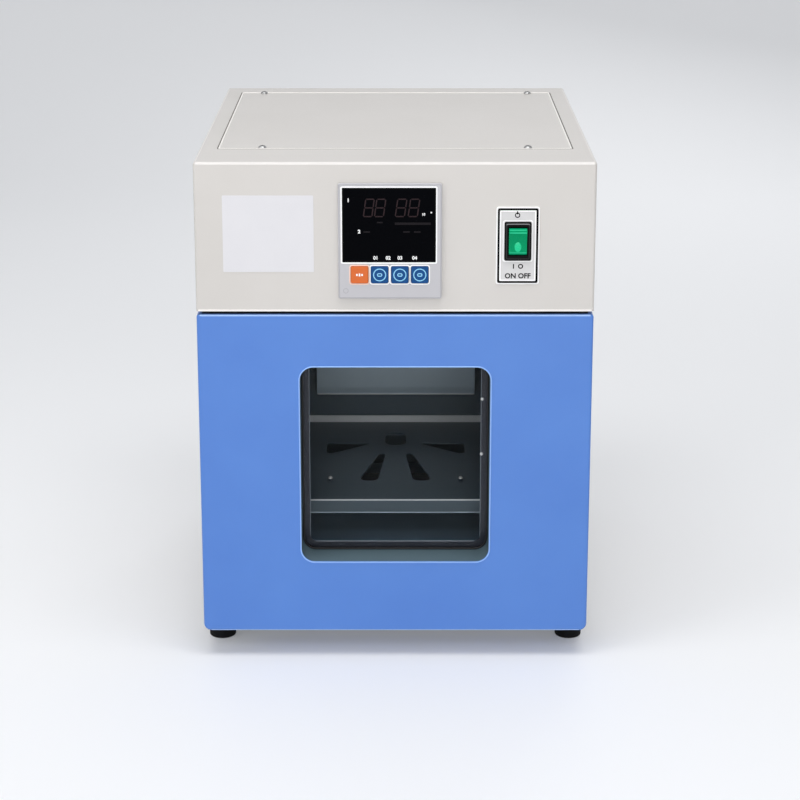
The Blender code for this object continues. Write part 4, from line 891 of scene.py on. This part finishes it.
# A black strip on the door's top, painted shade for the gap under the housing.
strip_y = front_y + STRIP_MIDDLE
hem_strip("door_top_strip", STRIP_HALF, strip_y, door_high.z, STRIP_HEIGHT, STRIP_REACH, seal_rubber, "rubber", "door")
seal_low, seal_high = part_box("window_seal")
band(
    "window_seal_ring",
    window_centre,
    seal_high.y - front_y,
    grown(WINDOW, -SEAL_WIDTH),
    WINDOW_CORNER - SEAL_WIDTH / 2,
    SEAL_WIDTH,
    seal_high.y - seal_low.y,
    seal_rubber,
    "rubber",
    "window_seal",
    soft=0.0006,
)
glass = coated("window_glass", ((16, 20, 22), (10, 13, 15)), (0.038, 0.062), bump=0.0, grain=30.0)
glass_shader = glass.node_tree.nodes["Principled BSDF"]
glass_shader.inputs["IOR"].default_value = 1.45
glass_shader.inputs["Alpha"].default_value = 0.10
dress("window_glass", glass, "window_glass")

# Door gasket: a soft black magnetic extrusion that runs once round the chamber's mouth on the door's back.
# It is pressed into the door's inner panel and closes against the front frame.
GASKET_WIDTH = 0.012
GASKET_CORNER = 0.010
gasket_low, gasket_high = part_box("door_gasket")
gasket_centre, gasket_size, _ = face_of("door_gasket")
band(
    "door_gasket_ring",
    gasket_centre,
    gasket_high.y - front_y,
    grown(gasket_size, -GASKET_WIDTH),
    GASKET_CORNER,
    GASKET_WIDTH,
    gasket_high.y - gasket_low.y,
    seal_rubber,
    "rubber",
    "door_gasket",
    soft=0.0016,
)

# Bushes and terminal strip: white nylon, turned and moulded.
# The bushes are pressed into the door's left edge and turn on the hinge pins, and the strip stands on the deck.
nylon = coated("white_nylon", ((226, 223, 212), (216, 212, 200)), (0.45, 0.6))
for node in ("door_bush_lower", "door_bush_upper", "terminal_block"):
    dress(node, nylon, "nylon", SHEET_EDGE, segments=1)

# Controller: a moulded grey front in a black case, with a smoked display behind a white printed line.
# Unlit digits and small white marks show through the display.
PLASTIC_GRAIN = 1500.0
INK_GRAIN = 2500.0
INK = 0.0001
RAISED_INK = 0.00025
LINE = 0.0013
EDGE = 0.0016
RING_PLACE = (-0.0455, 0.3400)
CAP_SHARE = 0.7
face_plastic = coated(
    "controller_face", ((192, 191, 195), (184, 183, 187)), (0.32, 0.44), specular=0.35, grain=PLASTIC_GRAIN
)
# The black plastic's lighter second tone is a painted highlight, used on the switch's ridge.
black_plastic = coated(
    "black_plastic",
    ((12, 12, 13), (17, 17, 18)),
    (0.4, 0.55),
    bend=(128, 128, 130),
    specular=0.10,
    grain=PLASTIC_GRAIN,
)
dress("controller_bezel", face_plastic, "grey_face", edge=0.0003)
dress("controller_body", black_plastic, "black_plastic", edge=0.0006)
smoked = coated("smoked_display", ((9, 10, 13), (12, 13, 17)), (0.16, 0.24), bump=0.000002, specular=0.02)
dress("display_window", smoked, "black_plastic", edge=0.0003)
white_ink = coated("white_ink", ((250, 250, 250), (244, 244, 244)), (0.45, 0.55), grain=INK_GRAIN)
dark_ink = coated("dark_ink", ((6, 6, 7), (4, 4, 5)), (0.5, 0.6), specular=0.05, grain=INK_GRAIN)
edge_ink = coated("edge_ink", ((168, 167, 172), (158, 157, 162)), (0.4, 0.5), grain=INK_GRAIN)
ghost_ink = coated("ghost_ink", ((28, 24, 28), (24, 21, 25)), (0.3, 0.4), specular=0.1, grain=INK_GRAIN)
bezel_centre, bezel_size, bezel_face = face_of("controller_bezel")
display_centre, display_size, display_face = face_of("display_window")


def ink_line(name, centre, face, size, corner, width, ink, slot, body=None, rise=INK):
    """Thin printed line round a rounded rectangle."""
    return band(name, centre, face, size, corner, width, rise, ink, slot, body=body, soft=INK * 0.3)


line_size = grown(display_size, LINE)
band("display_line", display_centre, bezel_face, line_size, 0.0009, LINE, RAISED_INK, white_ink, "grey_face")
edge_size = grown(display_size, -EDGE)
ink_line("display_edge", display_centre, display_face, edge_size, 0.0005, EDGE, dark_ink, "black_plastic")
ink_line("bezel_line", bezel_centre, bezel_face, grown(bezel_size, -0.0020), 0.0009, 0.0006, edge_ink, "grey_face")
ink_line("bezel_ring", RING_PLACE, bezel_face, (0.0044, 0.0044), 0.0022, 0.0005, edge_ink, "grey_face")


def lettering(letters, height, place, face, weight):
    """Mesh of plain printed characters whose middle is at a point of the front, in millimetres."""
    curve = bpy.data.curves.new("letters", "FONT")
    curve.body = letters
    curve.align_x = "CENTER"
    curve.align_y = "CENTER"
    curve.size = height / CAP_SHARE / 1000
    curve.extrude = INK / 2
    curve.offset = weight / 1000
    curve.resolution_u = 3
    item = add_object("letters", curve)
    mesh = bpy.data.meshes.new_from_object(item.evaluated_get(bpy.context.evaluated_depsgraph_get()))
    bpy.data.objects.remove(item)
    centre = Vector((place[0] / 1000, front_y + face - INK / 2, base_z + place[1] / 1000))
    mesh.transform(Matrix.Translation(centre) @ Matrix.Rotation(math.pi / 2, 4, "X"))
    return mesh


def bar(place, width, height, face):
    """Mesh of a small printed bar whose middle is at a point of the front, in millimetres."""
    x, z = place[0] / 1000, base_z + place[1] / 1000
    low = (x - width / 2000, front_y + face - INK, z - height / 2000)
    high = (x + width / 2000, front_y + face, z + height / 2000)
    return block_mesh("bar", low, high)


def printed(name, meshes, ink, slot, body=None):
    """One piece of several printed marks."""
    shape = bmesh.new()
    for mesh in meshes:
        shape.from_mesh(mesh)
    return fit(add_object(name, outward(mesh_of(shape, name))), ink, slot, body=body)


marks = [lettering("1", 3.2, (-42.9, 425.1), display_face, 0.2), lettering("2", 3.2, (-33.0, 395.8), display_face, 0.2)]
marks += [lettering("10", 2.2, (26.2, 412.0), display_face, 0.12), bar((33.3, 413.8), 1.4, 1.2, display_face)]
marks += [lettering(f"0{i + 1}", 3.2, (x, 371.0), display_face, 0.15) for i, x in enumerate((-17.8, -6.3, 4.6, 18.1))]
printed("display_marks", marks, white_ink, "grey_face")
faint = [bar((16.3, 403.4), 33.0, 2.2, display_face), bar((-14.0, 404.5), 5.2, 1.2, display_face)]
faint += [bar((x, 395.6), 6.0, 1.4, display_face) for x in (-26.0, 10.5, 20.5)]
printed("display_faint_marks", faint, ghost_ink, "black_plastic")

# Digits: four unlit seven-segment characters under the smoked display, slightly slanted.
# Each segment is a flat bar with pointed ends.
SEGMENT_WIDTH = 0.0011
SEGMENT_GAP = 0.0003
SLANT = math.radians(8)
DIGITS = ((-24.0, 9.0), (-13.6, 9.4), (5.6, 9.6), (17.4, 9.6))
DIGIT_MIDDLE = 418.2
DIGIT_HEIGHT = 16.2
unlit_ink = coated("unlit_segments", ((50, 37, 40), (42, 31, 34)), (0.3, 0.4), specular=0.1, grain=INK_GRAIN)
half_length = DIGIT_HEIGHT / 4000 - SEGMENT_GAP
tip = half_length - SEGMENT_WIDTH / 2
outline = [(-half_length, 0), (-tip, -1), (tip, -1), (half_length, 0), (tip, 1), (-tip, 1)]
shape = bmesh.new()
corners = [shape.verts.new((x, 0, side * SEGMENT_WIDTH / 2)) for x, side in outline]
raised = bmesh.ops.extrude_face_region(shape, geom=[shape.faces.new(corners)])
moved = [item for item in raised["geom"] if isinstance(item, bmesh.types.BMVert)]
bmesh.ops.translate(shape, vec=(0, -INK, 0), verts=moved)
bmesh.ops.recalc_face_normals(shape, faces=shape.faces)
template = add_object("segment_template", mesh_of(shape, "segment"))
level, upright = [], []
for middle, width in DIGITS:
    for row in (-1, 0, 1):
        rise = row * DIGIT_HEIGHT / 2
        level.append((middle + rise * math.tan(SLANT), DIGIT_MIDDLE + rise))
    for side in (-1, 1):
        for row in (-1, 1):
            rise = row * DIGIT_HEIGHT / 4
            upright.append((middle + side * (width / 2 - 0.6) + rise * math.tan(SLANT), DIGIT_MIDDLE + rise))
segments = []
for name, spots, turn in (("level", level, 0.0), ("upright", upright, SLANT - math.pi / 2)):
    places = [(x / 1000, front_y + display_face, base_z + z / 1000) for x, z in spots]
    segments.append(repeated(f"{name}_segments", template, places, (0, turn, 0), unlit_ink))
printed("unlit_digits", [item.data for item in segments], unlit_ink, "black_plastic")
for item in segments + [template]:
    bpy.data.objects.remove(item)

# Keys: one orange and three blue silicone caps with soft edges, in white printed frames.
# Each blue cap has a light ring with a small oval in it, and the orange cap three short bars.
RING_RADIUS = 0.0056
RING_LINE = 0.0009
KEY_GAP = 0.0018
KEY_EDGE = 0.0005
orange_cap = coated("orange_cap", ((216, 108, 50), (206, 98, 43)), (0.38, 0.5), specular=0.3, grain=PLASTIC_GRAIN)
blue_cap = coated(
    "blue_cap", ((20, 84, 142), (10, 58, 112)), (0.38, 0.5), specular=0.2, grain=PLASTIC_GRAIN, cloud=160.0
)
ring_ink = coated("ring_ink", ((150, 214, 244), (126, 196, 234)), (0.4, 0.5), grain=INK_GRAIN)
pale_orange = coated("pale_orange", ((250, 214, 196), (244, 204, 184)), (0.4, 0.5), grain=INK_GRAIN)
for node in ("key_set", "key_shift", "key_down", "key_up"):
    body = frame["nodes"][node]["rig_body"]
    centre, size, face = face_of(node)
    ink = pale_orange if node == "key_set" else white_ink
    band(f"{node}_frame", centre, bezel_face, grown(size, KEY_GAP), 0.0023, 0.0012, RAISED_INK, ink, "grey_face")
    if node == "key_set":
        dress(node, orange_cap, "orange_key", KEY_EDGE, segments=3)
        x, z = centre[0] * 1000, centre[1] * 1000
        dashes = [bar((x + step, z), 1.5, tall, face) for step, tall in ((-2.4, 2.0), (0, 2.8), (2.4, 2.0))]
        printed("key_set_mark", dashes, white_ink, "grey_face", body)
        continue
    dress(node, blue_cap, "blue_key", KEY_EDGE, segments=3)
    ink_line(f"{node}_ring", centre, face, (2 * RING_RADIUS,) * 2, RING_RADIUS, RING_LINE, ring_ink, "blue_key", body)
    ink_line(f"{node}_oval", centre, face, (0.0040, 0.0024), 0.0012, 0.0009, ring_ink, "blue_key", body)

# Power switch: a light plate with a black printed border, a black snap-in body and a green rocker.
# The rocker is tinted plastic with a raised oval lens, and the plate has plain 1, 0, ON and OFF marks.
SWITCH_INK = 0.00012
SWITCH_SIZE = (0.0248, 0.0365)
RIDGE = 0.0009
RIDGE_INSET = 0.0019
RIDGE_SHARE = 0.12
HALO = 0.0016
LENS_SIZE = (0.0063, 0.0007, 0.0092)
LENS_PLACE = (0.1132, 0.3815)
POWER_MARK = (0.1126, 0.4109)
plate_centre, plate_size, plate_face = face_of("switch_plate")
plate_plastic = coated(
    "switch_plate_face", ((213, 212, 212), (206, 205, 205)), (0.36, 0.46), specular=0.35, grain=PLASTIC_GRAIN
)
dress("switch_plate", plate_plastic, "grey_face", SHEET_EDGE, segments=1)
edge_size = grown(plate_size, 0.0012)
band("switch_plate_edge", plate_centre, 0.0, edge_size, 0.0014, 0.0013, 0.0009, white_ink, "grey_face")
for name, inset, line, ink in (("border", 0.0010, 0.0019, dark_ink), ("inner", 0.0026, 0.0013, white_ink)):
    size = grown(plate_size, -2 * inset)
    ink_line(f"switch_plate_{name}", plate_centre, plate_face, size, 0.0010, line, ink, "grey_face", rise=SWITCH_INK)
dress("switch_body", black_plastic, "black_plastic", edge=0.0006, segments=3, clamp=False)
switch_centre, _, switch_face = face_of("switch_body")
ridge_size = grown(SWITCH_SIZE, -2 * RIDGE_INSET)
ridge_top = base_z + switch_centre[1] + 0.95 * ridge_size[1] / 2
ridge = band(
    "switch_ridge", switch_centre, switch_face, ridge_size, 0.0009, RIDGE, 0.0003, black_plastic, "black_plastic"
)
# Painted highlight: the ridge's top takes the lighter tone, and its sides and bottom a little of it.
mark_painted_light(ridge, lambda face, corners: 1.0 if face.center.z > ridge_top else RIDGE_SHARE)
halo_size = grown(SWITCH_SIZE, 0.0015)
ink_line("switch_outline", switch_centre, plate_face, halo_size, HALO, HALO, white_ink, "grey_face", rise=SWITCH_INK)
green = coated(
    "green_rocker",
    ((0, 150, 100), (0, 138, 90)),
    (0.2, 0.3),
    bend=(50, 200, 148),
    bump=0.000004,
    specular=0.08,
    grain=PLASTIC_GRAIN,
)
# The rocker's narrow bends take the lighter green tone, a painted highlight.
rocker = dress("rocker", green, "green_rocker", edge=0.0005, segments=3, rule=narrow(0.010, 0.0006))
bpy.context.view_layer.update()
sight = Vector((LENS_PLACE[0], front_y - 0.1, base_z + LENS_PLACE[1]))
_, seat, facing, _ = rocker.ray_cast(sight, Vector((0, 1, 0)))
shape = bmesh.new()
bmesh.ops.create_uvsphere(shape, u_segments=32, v_segments=16, radius=0.5)
bmesh.ops.scale(shape, vec=LENS_SIZE, verts=shape.verts)
tilt = Vector((0, -1, 0)).rotation_difference(facing).to_matrix()
bmesh.ops.rotate(shape, cent=(0, 0, 0), matrix=tilt, verts=shape.verts)
bmesh.ops.translate(shape, vec=seat, verts=shape.verts)
lens = add_object("rocker_lens", mesh_of(shape, "rocker_lens"))
lens.data.shade_smooth()
lens_tint = coated("lens_tint", ((24, 204, 144), (14, 194, 134)), (0.2, 0.3), specular=0.3, grain=PLASTIC_GRAIN)
fit(lens, lens_tint, "green_rocker", body=frame["nodes"]["rocker"]["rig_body"])
labels = [lettering("I  O", 4.2, (113.6, 362.4), plate_face, 0.2)]
labels.append(lettering("ON OFF", 4.6, (113.4, 353.4), plate_face, 0.2))
printed("switch_marks", labels, dark_ink, "black_plastic")
ink_line("power_ring", POWER_MARK, plate_face, (0.0040, 0.0040), 0.0020, 0.0009, dark_ink, "black_plastic")
printed("power_bar", [bar((112.6, 413.2), 1.0, 3.0, plate_face - INK)], dark_ink, "black_plastic")

# Sticker: a blank white paper label on the housing's front, with slightly rounded corners.
# Its print is left out, and only the paper's fine grain shows.
STICKER_LOW = (-0.1589, 0.3570)
STICKER_HIGH = (-0.0750, 0.4291)
STICKER_CORNER = 0.0008
STICKER_RISE = 0.00025
paper = coated("sticker_paper", ((220, 219, 222), (213, 212, 216)), (0.5, 0.62), grain=2200.0, cloud=30.0)
sticker_outline = rounded_outline(STICKER_LOW, STICKER_HIGH, STICKER_CORNER, STICKER_CORNER, 4)
sticker_mesh = outward(upright_prism("blank_sticker", sticker_outline, -STICKER_RISE, 0.0))
fit(add_object("blank_sticker", sticker_mesh), paper, "grey_face")

# Relay and mains inlet: black thermoplastic, dull and slightly grained.
# The relay stands on the deck, and the inlet's flange lies on the rear panel.
for node in ("relay", "power_inlet"):
    dress(node, black_plastic, "black_plastic", edge=0.0004)
